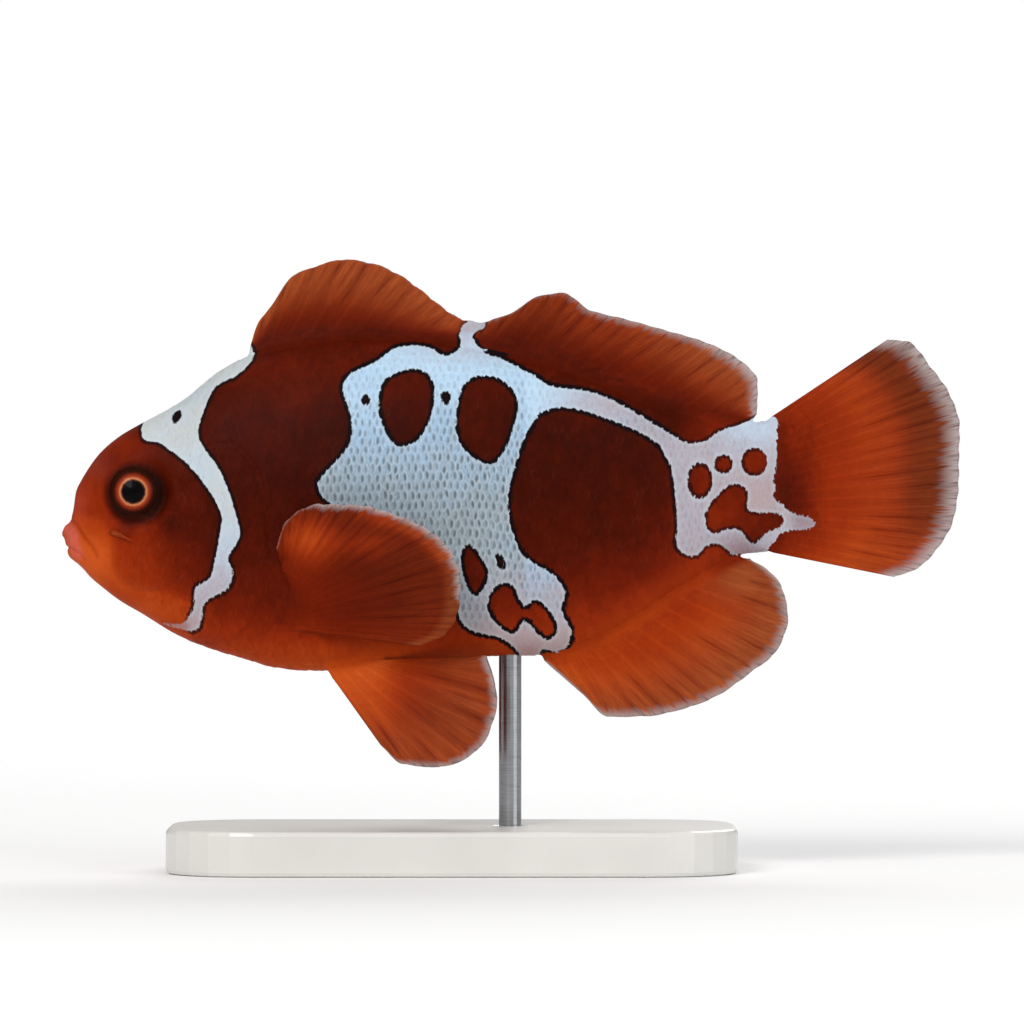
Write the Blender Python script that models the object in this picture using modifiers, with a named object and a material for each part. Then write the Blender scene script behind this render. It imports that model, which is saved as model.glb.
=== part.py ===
"""Maroon clownfish, life size, on a plain display stand.

Blender 4.5, metres, +Z up. The fish faces -X and its left side faces -Y. The origin lies on the
floor under the middle of the fish's length. Places on the fish are in millimetres: "along" runs
from the tip of the upper lip towards the tail, "up" runs from the lowest fin tip, and "side" runs
outwards from the plane that halves the fish.
"""
import math

import bmesh
import bpy
import numpy as np
from mathutils import Vector

MM = 0.001

# Driving dimensions, millimetres
TOTAL_LENGTH = 120.5        # upper lip to the hind edge of the tail fin
BASE_LENGTH = 76.0
BASE_WIDTH = 40.0
BASE_HEIGHT = 6.0
BASE_CORNER = 12.0
BASE_EDGE = 0.6             # the slab's edges are eased by this much
BASE_SHIFT = -8.0           # the base sits under the fish's weight, ahead of its middle
FIN_CLEARANCE = 8.0         # lowest fin tip above the base
ROD_RADIUS = 1.5
ROD_ALONG = 60.0            # between the pelvic and the anal fins
ROD_IN_FISH = 5.0
ROD_IN_BASE = 3.5
GAP = 0.3                   # between pieces that touch
GILL_SHIFT = 0.21           # head and trunk each draw back from the slanting gill line

BELLY_AT_ROD = 14.7
BODY_END = 97.5
GILL_PLATE_INNER = 4.6      # inner face of a gill cover, from the middle plane
STALK_START = 87.0
JAW_GAP = 0.35
RING_SIDES = 22             # points round one section of the body
STATION_STEP = 2.9
SHARP_ANGLE = math.radians(50)      # faces that meet more steeply show an edge
CORNER_ANGLE = math.radians(60)     # and those of the slab are eased

# Limits past the whole body, for the regions that divide it
FRONT, BEHIND, BELOW, ABOVE, BESIDE = -5.0, 110.0, 5.0, 70.0, 15.0

EYE_ALONG, EYE_UP, EYE_SIDE = 9.85, 36.7, 4.2
EYE_RADIUS = 3.9
EYE_DEPTH = 2.7             # half its thickness from side to side

# Body sections: along, height of the back, height of the belly, half width
BODY = [
    (0.0, 31.4, 30.8, 0.4),
    (0.4, 32.2, 30.2, 1.3),
    (1.0, 32.7, 28.0, 2.3),
    (1.5, 34.3, 27.5, 2.9),
    (1.9, 36.9, 27.2, 3.3),
    (2.4, 38.0, 26.8, 3.6),
    (3.8, 40.3, 25.2, 4.3),
    (5.2, 42.1, 24.0, 4.8),
    (7.8, 44.3, 22.0, 5.6),
    (10.5, 45.9, 20.4, 6.2),
    (15.8, 48.8, 17.2, 7.2),
    (21.2, 53.1, 15.1, 8.2),
    (25.0, 55.1, 14.0, 8.6),
    (28.0, 56.0, 13.1, 8.9),
    (32.0, 56.8, 12.65, 9.1),
    (38.6, 57.5, 12.5, 9.3),
    (45.3, 57.5, 12.9, 9.2),
    (50.7, 57.0, 13.7, 8.9),
    (56.0, 56.0, 14.6, 8.4),
    (61.4, 54.8, 14.6, 7.8),
    (66.7, 53.4, 15.1, 7.1),
    (72.1, 51.5, 17.0, 6.4),
    (77.5, 49.2, 20.1, 5.6),
    (82.8, 47.2, 23.5, 4.7),
    (88.2, 46.1, 26.5, 3.7),
    (92.0, 46.1, 28.3, 3.0),
    (95.0, 46.6, 28.6, 2.2),
    (BODY_END, 46.4, 28.9, 1.2),
]
# Roundness of a section above and below its widest level: along, back, belly.
# 1 is an ellipse, less is fuller, more is keeled.
ROUNDNESS = [
    (0.0, 0.85, 0.85),
    (15.0, 0.85, 0.95),
    (28.0, 1.10, 0.95),
    (55.0, 1.15, 0.85),
    (75.0, 1.05, 0.95),
    (BODY_END, 1.0, 1.0),
]
WIDEST_LEVEL = 0.52         # share of a section's height

# Dividing lines and outlines in side view: along, up
GILL_LINE = [(24.2, ABOVE), (24.4, 48.0), (25.6, 41.5), (27.2, 36.0), (28.0, 30.0), (28.0, 25.0),
             (26.8, 21.0), (24.4, 17.6), (20.6, 14.5), (18.0, BELOW)]
GILL_PLATE = [(30.0, 42.4), (22.0, 42.4), (17.8, 39.4), (15.2, 34.0), (14.6, 28.5), (15.8, 23.6),
              (18.6, 20.4), (23.0, 18.6), (30.0, 18.6)]
LOWER_JAW = [(-3.0, 29.6), (1.0, 29.3), (2.6, 27.9), (4.4, 26.6), (5.6, 24.8), (7.6, 21.4),
             (8.2, 16.0), (-3.0, 16.0)]

# Fin rays, root to tip: root along, up, side, tip along, up, side
SPINY_DORSAL = [
    (24.8, 54.2, 0.0, 25.1, 55.9, 0.0),
    (25.4, 54.9, 0.0, 26.2, 59.3, 0.0),
    (26.1, 55.5, 0.0, 28.2, 61.9, 0.0),
    (27.3, 56.1, 0.0, 30.8, 65.6, 0.0),
    (29.2, 56.5, 0.0, 34.4, 67.1, 0.0),
    (31.6, 56.9, 0.0, 37.7, 67.9, 0.0),
    (34.6, 57.3, 0.0, 41.4, 67.4, 0.0),
    (38.0, 57.4, 0.0, 44.7, 66.1, 0.0),
    (41.6, 57.4, 0.0, 47.4, 64.3, 0.0),
    (45.2, 57.3, 0.0, 49.8, 62.4, 0.0),
    (48.6, 57.1, 0.0, 51.9, 60.8, 0.0),
    (51.6, 56.6, 0.0, 53.8, 59.8, 0.0),
    (54.4, 56.0, 0.0, 55.7, 59.4, 0.0),
]
SOFT_DORSAL = [
    (54.9, 56.0, 0.0, 56.2, 59.4, 0.0),
    (57.4, 55.6, 0.0, 60.2, 60.7, 0.0),
    (60.7, 54.8, 0.0, 63.7, 62.9, 0.0),
    (64.7, 53.8, 0.0, 67.1, 63.4, 0.0),
    (69.4, 52.4, 0.0, 70.7, 61.1, 0.0),
    (74.1, 50.6, 0.0, 75.4, 59.9, 0.0),
    (78.8, 48.6, 0.0, 81.1, 58.3, 0.0),
    (83.5, 46.8, 0.0, 86.4, 56.7, 0.0),
    (87.1, 46.1, 0.0, 91.2, 54.1, 0.0),
    (89.5, 46.0, 0.0, 93.2, 51.5, 0.0),
    (91.0, 46.1, 0.0, 93.2, 49.0, 0.0),
    (91.9, 45.4, 0.0, 92.9, 47.2, 0.0),
]
TAIL_FIN = [
    (94.0, 46.1, 0.0, 110.6, 57.1, 0.0),
    (95.4, 44.8, 0.0, 113.2, 56.9, 0.0),
    (96.0, 43.4, 0.0, 116.4, 53.4, 0.0),
    (96.1, 41.6, 0.0, 118.9, 49.9, 0.0),
    (96.2, 39.6, 0.0, 120.3, 45.6, 0.0),
    (96.2, 37.6, 0.0, 120.2, 41.4, 0.0),
    (96.2, 35.6, 0.0, 120.1, 37.4, 0.0),
    (96.1, 33.8, 0.0, 119.4, 32.9, 0.0),
    (96.0, 32.0, 0.0, 117.4, 29.2, 0.0),
    (95.7, 30.2, 0.0, 114.4, 26.3, 0.0),
    (94.5, 28.7, 0.0, 111.4, 25.3, 0.0),
]
ANAL_FIN = [
    (63.8, 15.2, 0.0, 64.2, 14.4, 0.0),
    (66.5, 15.3, 0.0, 69.6, 9.7, 0.0),
    (69.6, 16.2, 0.0, 73.4, 6.5, 0.0),
    (72.6, 17.3, 0.0, 78.3, 6.6, 0.0),
    (75.8, 19.0, 0.0, 83.3, 7.6, 0.0),
    (79.0, 21.2, 0.0, 87.7, 9.3, 0.0),
    (82.0, 23.1, 0.0, 92.0, 12.3, 0.0),
    (84.8, 24.7, 0.0, 95.8, 15.5, 0.0),
    (87.2, 26.1, 0.0, 97.3, 19.8, 0.0),
    (89.0, 27.1, 0.0, 96.5, 23.8, 0.0),
    (90.5, 27.7, 0.0, 94.5, 26.3, 0.0),
    (91.3, 28.0, 0.0, 92.0, 27.7, 0.0),
]
PELVIC_FIN = [
    (35.3, 13.2, 2.2, 43.0, 2.7, 5.0),
    (36.2, 13.5, 2.5, 45.7, 0.4, 6.2),
    (37.4, 13.7, 2.8, 50.4, 0.0, 7.0),
    (38.6, 13.9, 3.0, 54.7, 1.5, 7.4),
    (39.8, 14.1, 3.2, 57.4, 4.9, 7.4),
    (41.0, 14.2, 3.4, 58.3, 8.9, 7.0),
    (42.0, 14.4, 3.6, 56.8, 14.9, 6.0),
]
PECTORAL_FIN = [
    (29.9, 25.6, 7.0, 29.1, 29.2, 11.4),
    (30.0, 24.8, 7.0, 30.3, 32.7, 12.4),
    (30.3, 24.0, 7.0, 34.8, 35.1, 13.6),
    (30.6, 23.2, 6.9, 39.6, 35.0, 14.6),
    (30.8, 22.4, 6.9, 44.6, 33.8, 15.4),
    (31.1, 21.6, 6.8, 48.9, 31.9, 15.8),
    (31.3, 20.9, 6.7, 52.1, 29.0, 15.8),
    (31.5, 20.2, 6.6, 53.5, 25.2, 15.0),
    (31.6, 19.5, 6.4, 53.3, 21.3, 13.6),
    (31.8, 18.9, 6.2, 51.5, 17.8, 12.0),
    (31.9, 18.3, 6.0, 47.8, 16.2, 10.6),
]
FIN_COLUMNS = 20
FIN_ROWS = 6
FIN_EMBED = 2.2             # how far a fin runs into the body before the body cuts it

# Fins on the middle plane: name, rays, half thickness at the root and at the margin, ripple
MIDDLE_FINS = [
    ("dorsal_fin_spiny", SPINY_DORSAL, 1.1, 0.3, 0.0),
    ("dorsal_fin_soft", SOFT_DORSAL, 1.0, 0.3, 0.3),
    ("tail_fin", TAIL_FIN, 1.1, 0.3, 0.5),
    ("anal_fin", ANAL_FIN, 1.0, 0.3, 0.3),
]
PAIRED_FINS = [
    ("pelvic_fin", PELVIC_FIN, 0.7, 0.3, 0.0),
    ("pectoral_fin", PECTORAL_FIN, 0.7, 0.3, 0.0),
]

# Cheek spine, root and tip: along, up, side
CHEEK_SPINE = ((6.6, 31.4, 5.1), (9.6, 30.1, 6.6))
SPINE_RADIUS = 0.5


def material(name, colour, roughness, metallic=0.0):
    made = bpy.data.materials.new(name)
    made.use_nodes = True
    made.diffuse_color = (*colour, 1.0)
    shader = made.node_tree.nodes["Principled BSDF"]
    shader.inputs["Base Color"].default_value = (*colour, 1.0)
    shader.inputs["Roughness"].default_value = roughness
    shader.inputs["Metallic"].default_value = metallic
    return made


def between(keys, at):
    """Values at the places "at", on a cubic through the keys that never overshoots them."""
    keys = np.array(keys, float)
    at = np.asarray(at, float)
    place, value = keys[:, 0], keys[:, 1:]
    step = np.diff(place)
    rise = np.diff(value, axis=0) / step[:, None]
    product = rise[:-1] * rise[1:]
    total = np.where(product > 0, rise[:-1] + rise[1:], 1.0)
    inner = np.where(product > 0, 2 * product / total, 0.0)
    slope = np.vstack([rise[:1], inner, rise[-1:]])
    i = np.clip(np.searchsorted(place, at, side="right") - 1, 0, len(place) - 2)
    t = ((at - place[i]) / step[i])[:, None]
    h = step[i][:, None]
    rest = 1 - t
    return (value[i] * (1 + 2 * t) * rest ** 2 + slope[i] * h * t * rest ** 2
            + value[i + 1] * (3 - 2 * t) * t ** 2 - slope[i + 1] * h * rest * t ** 2)


def in_world(points):
    """Rows of along, up, side in millimetres to world x, y, z in metres, on the fish's left."""
    points = np.asarray(points, float)
    along, up, side = points[..., 0], points[..., 1], points[..., 2]
    lift = BASE_HEIGHT + FIN_CLEARANCE
    return np.stack([along - TOTAL_LENGTH / 2, -side, up + lift], axis=-1) * MM


def new_object(name, bm, collection, look=None):
    mesh = bpy.data.meshes.new(name)
    bmesh.ops.recalc_face_normals(bm, faces=bm.faces)
    bm.to_mesh(mesh)
    bm.free()
    made = bpy.data.objects.new(name, mesh)
    collection.objects.link(made)
    if look is None:
        made.hide_render = True
        made.display_type = "WIRE"
    else:
        mesh.materials.append(look)
        mesh.shade_smooth()
        mesh.set_sharp_from_angle(angle=SHARP_ANGLE)
    return made


def boolean(target, cutter, operation):
    step = target.modifiers.new(cutter.name, "BOOLEAN")
    step.object = cutter
    step.operation = operation
    step.solver = "EXACT"


def body_mesh(swell=0.0):
    """Loft through the body's sections, closed at the lips and at the root of the tail fin."""
    keys = [row[0] for row in BODY]
    stations = [keys[0]]
    for start, end in zip(keys, keys[1:]):
        parts = max(1, round((end - start) / STATION_STEP))
        stations += [start + (end - start) * (i + 1) / parts for i in range(parts)]
    stations = np.array(stations)
    back, belly, half_width = between(BODY, stations).T
    round_back, round_belly = between(ROUNDNESS, stations).T
    spread = (BODY_END + 2 * swell) / BODY_END
    bm = bmesh.new()
    rings = []
    for i, along in enumerate(stations):
        level = belly[i] + (back[i] - belly[i]) * WIDEST_LEVEL
        ring = []
        for k in range(RING_SIDES):
            angle = 2 * math.pi * k / RING_SIDES
            if math.cos(angle) > 0:
                height = (back[i] + swell - level) * math.cos(angle)
                power = round_back[i]
            else:
                height = (level - belly[i] + swell) * math.cos(angle)
                power = round_belly[i]
            reach = abs(math.sin(angle)) ** power * math.copysign(1.0, math.sin(angle))
            place = (along * spread - swell, level + height, (half_width[i] + swell) * reach)
            ring.append(bm.verts.new(in_world(place)))
        rings.append(ring)
    for ring, following in zip(rings, rings[1:]):
        for k in range(RING_SIDES):
            n = (k + 1) % RING_SIDES
            bm.faces.new((ring[k], ring[n], following[n], following[k]))
    bm.faces.new(rings[0])
    bm.faces.new(rings[-1])
    return bm


def grown(outline, by):
    """A closed outline moved outwards by a distance."""
    outline = np.array(outline, float)
    ahead = np.roll(outline, -1, axis=0) - outline
    normal = np.stack([-ahead[:, 1], ahead[:, 0]], axis=1)
    normal /= np.linalg.norm(normal, axis=1)[:, None]
    corner = normal + np.roll(normal, 1, axis=0)
    corner /= (corner * normal).sum(axis=1)[:, None]
    area = np.cross(outline, np.roll(outline, -1, axis=0)).sum()
    return outline - math.copysign(by, area) * corner


def prism(outline, inner, outer):
    """A side-view outline, drawn out from one distance from the middle plane to another."""
    bm = bmesh.new()
    verts = [bm.verts.new(in_world((along, up, inner))) for along, up in outline]
    face = bm.faces.new(verts)
    drawn = bmesh.ops.extrude_face_region(bm, geom=[face])["geom"]
    ends = [v for v in drawn if isinstance(v, bmesh.types.BMVert)]
    bmesh.ops.translate(bm, verts=ends, vec=(0.0, -(outer - inner) * MM, 0.0))
    return bm


def line_moved(line, by):
    return [(along + by, up) for along, up in line]


def fin_mesh(rays, root_half, tip_half, ripple, mirrored=False):
    """A fan through its rays, thick at the root and thin at the margin."""
    rays = np.array(rays, float)
    roots, tips = rays[:, :3], rays[:, 3:]
    stride = 0.5 * (np.linalg.norm(np.diff(roots, axis=0), axis=1)
                    + np.linalg.norm(np.diff(tips, axis=0), axis=1))
    share = np.concatenate([[0.0], np.cumsum(stride)]) / stride.sum()
    columns = between(np.column_stack([share, rays]), np.linspace(0, 1, FIN_COLUMNS))
    grid = np.zeros((FIN_COLUMNS, FIN_ROWS + 1, 3))
    reach = np.zeros(FIN_ROWS + 1)
    for c, row in enumerate(columns):
        ray = row[3:] - row[:3]
        length = np.linalg.norm(ray)
        for r in range(FIN_ROWS + 1):
            reach[r] = max(0.0, (r - 1) / (FIN_ROWS - 1))
            start = -FIN_EMBED / length if r == 0 else reach[r]
            grid[c, r] = row[:3] + ray * start
            wave = math.sin(4 * math.pi * c / (FIN_COLUMNS - 1))
            grid[c, r, 2] += ripple * wave * reach[r] ** 2
    across = np.gradient(grid, axis=0)
    outward = np.gradient(grid, axis=1)
    normal = np.cross(across, outward)
    normal /= np.linalg.norm(normal, axis=2)[:, :, None]
    half = tip_half + (root_half - tip_half) * (1 - reach) ** 1.5
    offset = normal * half[None, :, None]
    bm = bmesh.new()
    sides = []
    for points in (grid + offset, grid - offset):
        if mirrored:
            points = points * np.array([1.0, 1.0, -1.0])
        world = in_world(points)
        sides.append([[bm.verts.new(place) for place in column] for column in world])
    for side in sides:
        for c in range(FIN_COLUMNS - 1):
            for r in range(FIN_ROWS):
                bm.faces.new((side[c][r], side[c + 1][r], side[c + 1][r + 1], side[c][r + 1]))
    one, other = sides
    rim = [(c, 0) for c in range(FIN_COLUMNS)]
    rim += [(FIN_COLUMNS - 1, r) for r in range(1, FIN_ROWS + 1)]
    rim += [(c, FIN_ROWS) for c in range(FIN_COLUMNS - 2, -1, -1)]
    rim += [(0, r) for r in range(FIN_ROWS - 1, 0, -1)]
    for (c, r), (nc, nr) in zip(rim, rim[1:] + rim[:1]):
        bm.faces.new((one[c][r], one[nc][nr], other[nc][nr], other[c][r]))
    return bm


def eyeball_mesh(side, grow=0.0):
    bm = bmesh.new()
    bmesh.ops.create_uvsphere(bm, u_segments=16, v_segments=10, radius=1.0)
    for v in bm.verts:
        v.co.x *= (EYE_RADIUS + grow) * MM
        v.co.y *= (EYE_DEPTH + grow) * MM
        v.co.z *= (EYE_RADIUS + grow) * MM
    centre = in_world((EYE_ALONG, EYE_UP, side * EYE_SIDE))
    bmesh.ops.translate(bm, verts=bm.verts, vec=centre)
    return bm


def spine_mesh(side, grow=0.0):
    """A short pointed spine that lies back along the cheek."""
    root, tip = (in_world((a, u, side * s)) for a, u, s in CHEEK_SPINE)
    axis = tip - root
    length = np.linalg.norm(axis)
    bm = bmesh.new()
    bmesh.ops.create_cone(bm, cap_ends=True, segments=10, radius1=(SPINE_RADIUS + grow) * MM,
                          radius2=(0.08 + grow) * MM, depth=length + 2 * grow * MM)
    direction = Vector(axis).to_track_quat("Z", "Y").to_matrix()
    bmesh.ops.rotate(bm, verts=bm.verts, matrix=direction)
    bmesh.ops.translate(bm, verts=bm.verts, vec=(root + tip) / 2)
    return bm


def rod_mesh(radius, low, high):
    bm = bmesh.new()
    bmesh.ops.create_cone(bm, cap_ends=True, segments=20, radius1=radius * MM,
                          radius2=radius * MM, depth=(high - low) * MM)
    middle = ((ROD_ALONG - TOTAL_LENGTH / 2) * MM, 0.0, (low + high) / 2 * MM)
    bmesh.ops.translate(bm, verts=bm.verts, vec=middle)
    return bm


def base_mesh():
    """A flat slab with round corners."""
    bm = bmesh.new()
    bmesh.ops.create_cube(bm, size=1.0)
    bmesh.ops.scale(bm, verts=bm.verts, vec=(BASE_LENGTH * MM, BASE_WIDTH * MM, BASE_HEIGHT * MM))
    centre = (BASE_SHIFT * MM, 0.0, BASE_HEIGHT / 2 * MM)
    bmesh.ops.translate(bm, verts=bm.verts, vec=centre)
    corners = [e for e in bm.edges if abs(e.verts[0].co.z - e.verts[1].co.z) > MM]
    bmesh.ops.bevel(bm, geom=corners, offset=BASE_CORNER * MM, segments=6, profile=0.5,
                    affect="EDGES")
    return bm


def add_base(collection, look, rod_hole):
    base = new_object("stand_base", base_mesh(), collection, look)
    boolean(base, rod_hole, "DIFFERENCE")
    edge = base.modifiers.new("eased edges", "BEVEL")
    edge.width = BASE_EDGE * MM
    edge.segments = 2
    edge.limit_method = "ANGLE"
    edge.angle_limit = CORNER_ANGLE


def add_body_part(name, collection, look, keep, remove):
    """A copy of the body, cut down to the regions in keep and relieved by those in remove."""
    piece = new_object(name, body_mesh(), collection, look)
    for cutter in keep:
        boolean(piece, cutter, "INTERSECT")
    for cutter in remove:
        boolean(piece, cutter, "DIFFERENCE")
    return piece


def add_fins(collection, look, body_room):
    for name, *shape in MIDDLE_FINS:
        fin = new_object(name, fin_mesh(*shape), collection, look)
        boolean(fin, body_room, "DIFFERENCE")
    for side, mirrored in (("left", False), ("right", True)):
        for name, *shape in PAIRED_FINS:
            fin = new_object(f"{name}_{side}", fin_mesh(*shape, mirrored), collection, look)
            boolean(fin, body_room, "DIFFERENCE")


def main():
    for old in list(bpy.data.objects):
        bpy.data.objects.remove(old, do_unlink=True)
    fish = bpy.data.collections.new("maroon_clownfish")
    cutters = bpy.data.collections.new("cutters")
    bpy.context.scene.collection.children.link(fish)
    bpy.context.scene.collection.children.link(cutters)

    maroon = material("maroon skin", (0.12, 0.012, 0.004), 0.4)
    orange = material("orange skin", (0.40, 0.06, 0.01), 0.4)
    fin_brown = material("fin membrane", (0.28, 0.04, 0.01), 0.45)
    eye_dark = material("eye", (0.02, 0.01, 0.01), 0.1)
    bone = material("spine bone", (0.40, 0.14, 0.06), 0.4)
    lacquer = material("pale lacquer", (0.62, 0.60, 0.57), 0.45)
    steel = material("brushed steel", (0.56, 0.56, 0.57), 0.32, 1.0)

    trunk_end = STALK_START - GAP / 2
    stalk_end = STALK_START + GAP / 2
    head_outline = line_moved(GILL_LINE, -GILL_SHIFT) + [(FRONT, BELOW), (FRONT, ABOVE)]
    trunk_outline = line_moved(GILL_LINE, GILL_SHIFT) + [(trunk_end, BELOW), (trunk_end, ABOVE)]
    stalk_outline = [(stalk_end, BELOW), (BEHIND, BELOW), (BEHIND, ABOVE), (stalk_end, ABOVE)]

    def region(name, outline, inner=-BESIDE, outer=BESIDE):
        return new_object(name, prism(outline, inner, outer), cutters)

    head_room = region("head region", head_outline)
    trunk_room = region("trunk region", trunk_outline)
    stalk_room = region("stalk region", stalk_outline)
    jaw_room = region("jaw region", LOWER_JAW)
    jaw_clear = region("jaw clearance", grown(LOWER_JAW, JAW_GAP))
    body_room = new_object("body clearance", body_mesh(GAP), cutters)
    lift = BASE_HEIGHT + FIN_CLEARANCE
    rod_low = BASE_HEIGHT - ROD_IN_BASE
    rod_high = BELLY_AT_ROD + lift + ROD_IN_FISH
    rod_hole = new_object("rod clearance", rod_mesh(ROD_RADIUS + GAP, rod_low - GAP,
                                                    rod_high + GAP), cutters)

    head_relief = [jaw_clear]
    for side, sign in (("left", 1), ("right", -1)):
        plate = region(f"gill plate region {side}", GILL_PLATE,
                       sign * GILL_PLATE_INNER, sign * BESIDE)
        pocket = region(f"gill pocket {side}", grown(GILL_PLATE, GAP),
                        sign * (GILL_PLATE_INNER - GAP), sign * BESIDE)
        socket = new_object(f"eye socket {side}", eyeball_mesh(sign, GAP), cutters)
        spine_seat = new_object(f"spine seat {side}", spine_mesh(sign, GAP), cutters)
        head_relief += [pocket, socket, spine_seat]
        add_body_part(f"gill_cover_{side}", fish, maroon, [head_room, plate], [])
        new_object(f"eye_{side}", eyeball_mesh(sign), fish, eye_dark)
        new_object(f"cheek_spine_{side}", spine_mesh(sign), fish, bone)

    add_body_part("head", fish, maroon, [head_room], head_relief)
    add_body_part("lower_jaw", fish, orange, [jaw_room], [])
    add_body_part("trunk", fish, maroon, [trunk_room], [rod_hole])
    add_body_part("tail_stalk", fish, maroon, [stalk_room], [])
    add_fins(fish, fin_brown, body_room)
    add_base(fish, lacquer, rod_hole)
    new_object("stand_rod", rod_mesh(ROD_RADIUS, rod_low, rod_high), fish, steel)


main()
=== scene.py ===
"""Maroon clownfish, life size, on its display stand.

One skin covers the body and the fins, and a coat of small overlapping scales lies on it. The eyes
and cheek spines are pieces of their own. Places on the fish are in millimetres: "along" runs from
the upper lip towards the tail, "up" from the lowest fin tip, "side" out from the middle plane.
"""
import math

import bmesh
import bpy
import numpy as np
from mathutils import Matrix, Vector
from mathutils.kdtree import KDTree


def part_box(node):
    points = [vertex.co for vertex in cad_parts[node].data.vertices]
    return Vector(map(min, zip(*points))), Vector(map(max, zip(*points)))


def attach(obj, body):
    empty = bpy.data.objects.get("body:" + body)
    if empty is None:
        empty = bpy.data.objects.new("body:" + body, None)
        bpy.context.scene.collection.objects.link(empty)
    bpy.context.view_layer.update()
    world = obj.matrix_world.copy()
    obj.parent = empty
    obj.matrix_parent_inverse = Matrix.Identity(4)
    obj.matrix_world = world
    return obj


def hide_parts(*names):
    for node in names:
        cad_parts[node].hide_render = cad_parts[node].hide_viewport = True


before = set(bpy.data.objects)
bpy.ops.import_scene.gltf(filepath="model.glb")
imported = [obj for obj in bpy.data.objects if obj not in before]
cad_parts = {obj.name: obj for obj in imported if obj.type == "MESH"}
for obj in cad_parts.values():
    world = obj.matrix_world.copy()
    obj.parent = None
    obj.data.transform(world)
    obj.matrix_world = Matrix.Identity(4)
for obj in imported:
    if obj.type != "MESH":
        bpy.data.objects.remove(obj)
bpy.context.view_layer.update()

rng = np.random.default_rng(7)

MM = 0.001
LIP_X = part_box("head")[0][0]                  # where "along" starts, in metres
BASE_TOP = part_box("stand_base")[1][2]
FIN_CLEARANCE = 8.0                           # lowest fin tip above the base
LIFT = BASE_TOP / MM + FIN_CLEARANCE
BODY_END = 97.5
FIN_EMBED = 1.6                               # how far a fin runs into the body
WIDEST_LEVEL = 0.52                           # share of a section's height
FAR = 4.0                                     # distances past this don't matter

# Body sections: along, height of the back, height of the belly, half width
BODY = [
    (0, 31.4, 30.8, 0.4), (0.4, 32.2, 30.2, 1.3), (1, 32.7, 28, 2.3), (1.5, 34.3, 27.5, 2.9),
    (1.9, 36.9, 27.2, 3.3), (2.4, 38, 26.8, 3.6), (3.8, 40.3, 25.2, 4.3), (5.2, 42.1, 24, 4.8),
    (7.8, 44.3, 22, 5.6), (10.5, 45.9, 20.4, 6.2), (15.8, 48.8, 17.2, 7.2), (21.2, 53.1, 15.1, 8.2),
    (25, 55.1, 14, 8.6), (28, 56, 13.1, 8.9), (32, 56.8, 12.65, 9.1), (38.6, 57.5, 12.5, 9.3),
    (45.3, 57.5, 12.9, 9.2), (50.7, 57, 13.7, 8.9), (56, 56, 14.6, 8.4), (61.4, 54.8, 14.6, 7.8),
    (66.7, 53.4, 15.1, 7.1), (72.1, 51.5, 17, 6.4), (77.5, 49.2, 20.1, 5.6), (82.8, 47.2, 23.5, 4.7),
    (88.2, 46.1, 26.5, 3.7), (92, 46.1, 28.3, 3), (95, 46.4, 28.7, 2), (BODY_END, 45.6, 29.9, 0.5),
]
# Roundness above and below the widest level: 1 is an ellipse, less is fuller, more is keeled
ROUNDNESS = [
    (0, 0.85, 0.85), (15, 0.85, 0.95), (28, 1.1, 0.95), (55, 1.15, 0.85), (75, 1.05, 0.95),
    (BODY_END, 1, 1),
]

# Rays of the fins on the middle plane, root to tip: root along, up, tip along, up
SPINY_DORSAL = [
    (24.8, 54.2, 25.1, 55.9), (25.4, 54.9, 26.2, 59.3), (26.1, 55.5, 28.2, 61.9),
    (27.3, 56.1, 30.8, 65.6), (29.2, 56.5, 34.4, 67.1), (31.6, 56.9, 37.7, 67.9),
    (34.6, 57.3, 41.4, 67.4), (37.4, 57.4, 44.7, 66.1), (40.6, 57.4, 47.4, 64.3), (44, 57.4, 49.8, 62.4),
    (47.6, 57.2, 51.9, 60.8), (51.2, 56.8, 53.8, 59.8), (55.2, 56, 56.4, 59.5),
]
SOFT_DORSAL = [
    (54.9, 56, 56.2, 59.4), (56.4, 55.8, 60.2, 60.7), (58.4, 55.4, 63.7, 62.9), (60.9, 54.8, 67.1, 63.4),
    (63.8, 54.1, 70.7, 61.1), (67.2, 53.1, 75.4, 59.9), (71.6, 51.6, 81.1, 58.3),
    (76.6, 49.5, 86.4, 56.7), (81.8, 47.4, 91.2, 54.1), (86, 46.3, 93.2, 51.5), (89.3, 46, 93.2, 49),
    (92.5, 45.2, 93, 47.1),
]
TAIL_FIN = [
    (94, 46.1, 110.6, 57.1), (95.4, 44.8, 113.2, 56.9), (96, 43.4, 116.4, 53.4),
    (96.1, 41.6, 118.9, 49.9), (96.2, 39.6, 120.3, 45.6), (96.2, 37.6, 120.2, 41.4),
    (96.2, 35.6, 120.1, 37.4), (96.1, 33.8, 119.4, 32.9), (96, 32, 117.4, 29.2),
    (95.7, 30.2, 114.4, 26.3), (94.5, 28.7, 111.4, 25.3),
]
ANAL_FIN = [
    (63.8, 15.2, 64.2, 14.4), (65.5, 15.1, 69.6, 9.7), (67.6, 15.6, 73.4, 6.5), (69.9, 16.3, 78.3, 6.6),
    (72.5, 17.3, 83.3, 7.6), (75.3, 18.8, 87.7, 9.3), (78.4, 20.7, 92, 12.3), (81.4, 22.7, 95.8, 15.5),
    (84.4, 24.5, 97.3, 19.8), (87.2, 26.1, 96.5, 23.8), (89.6, 27.4, 94.5, 26.3), (91.3, 28, 92, 27.7),
]
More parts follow.
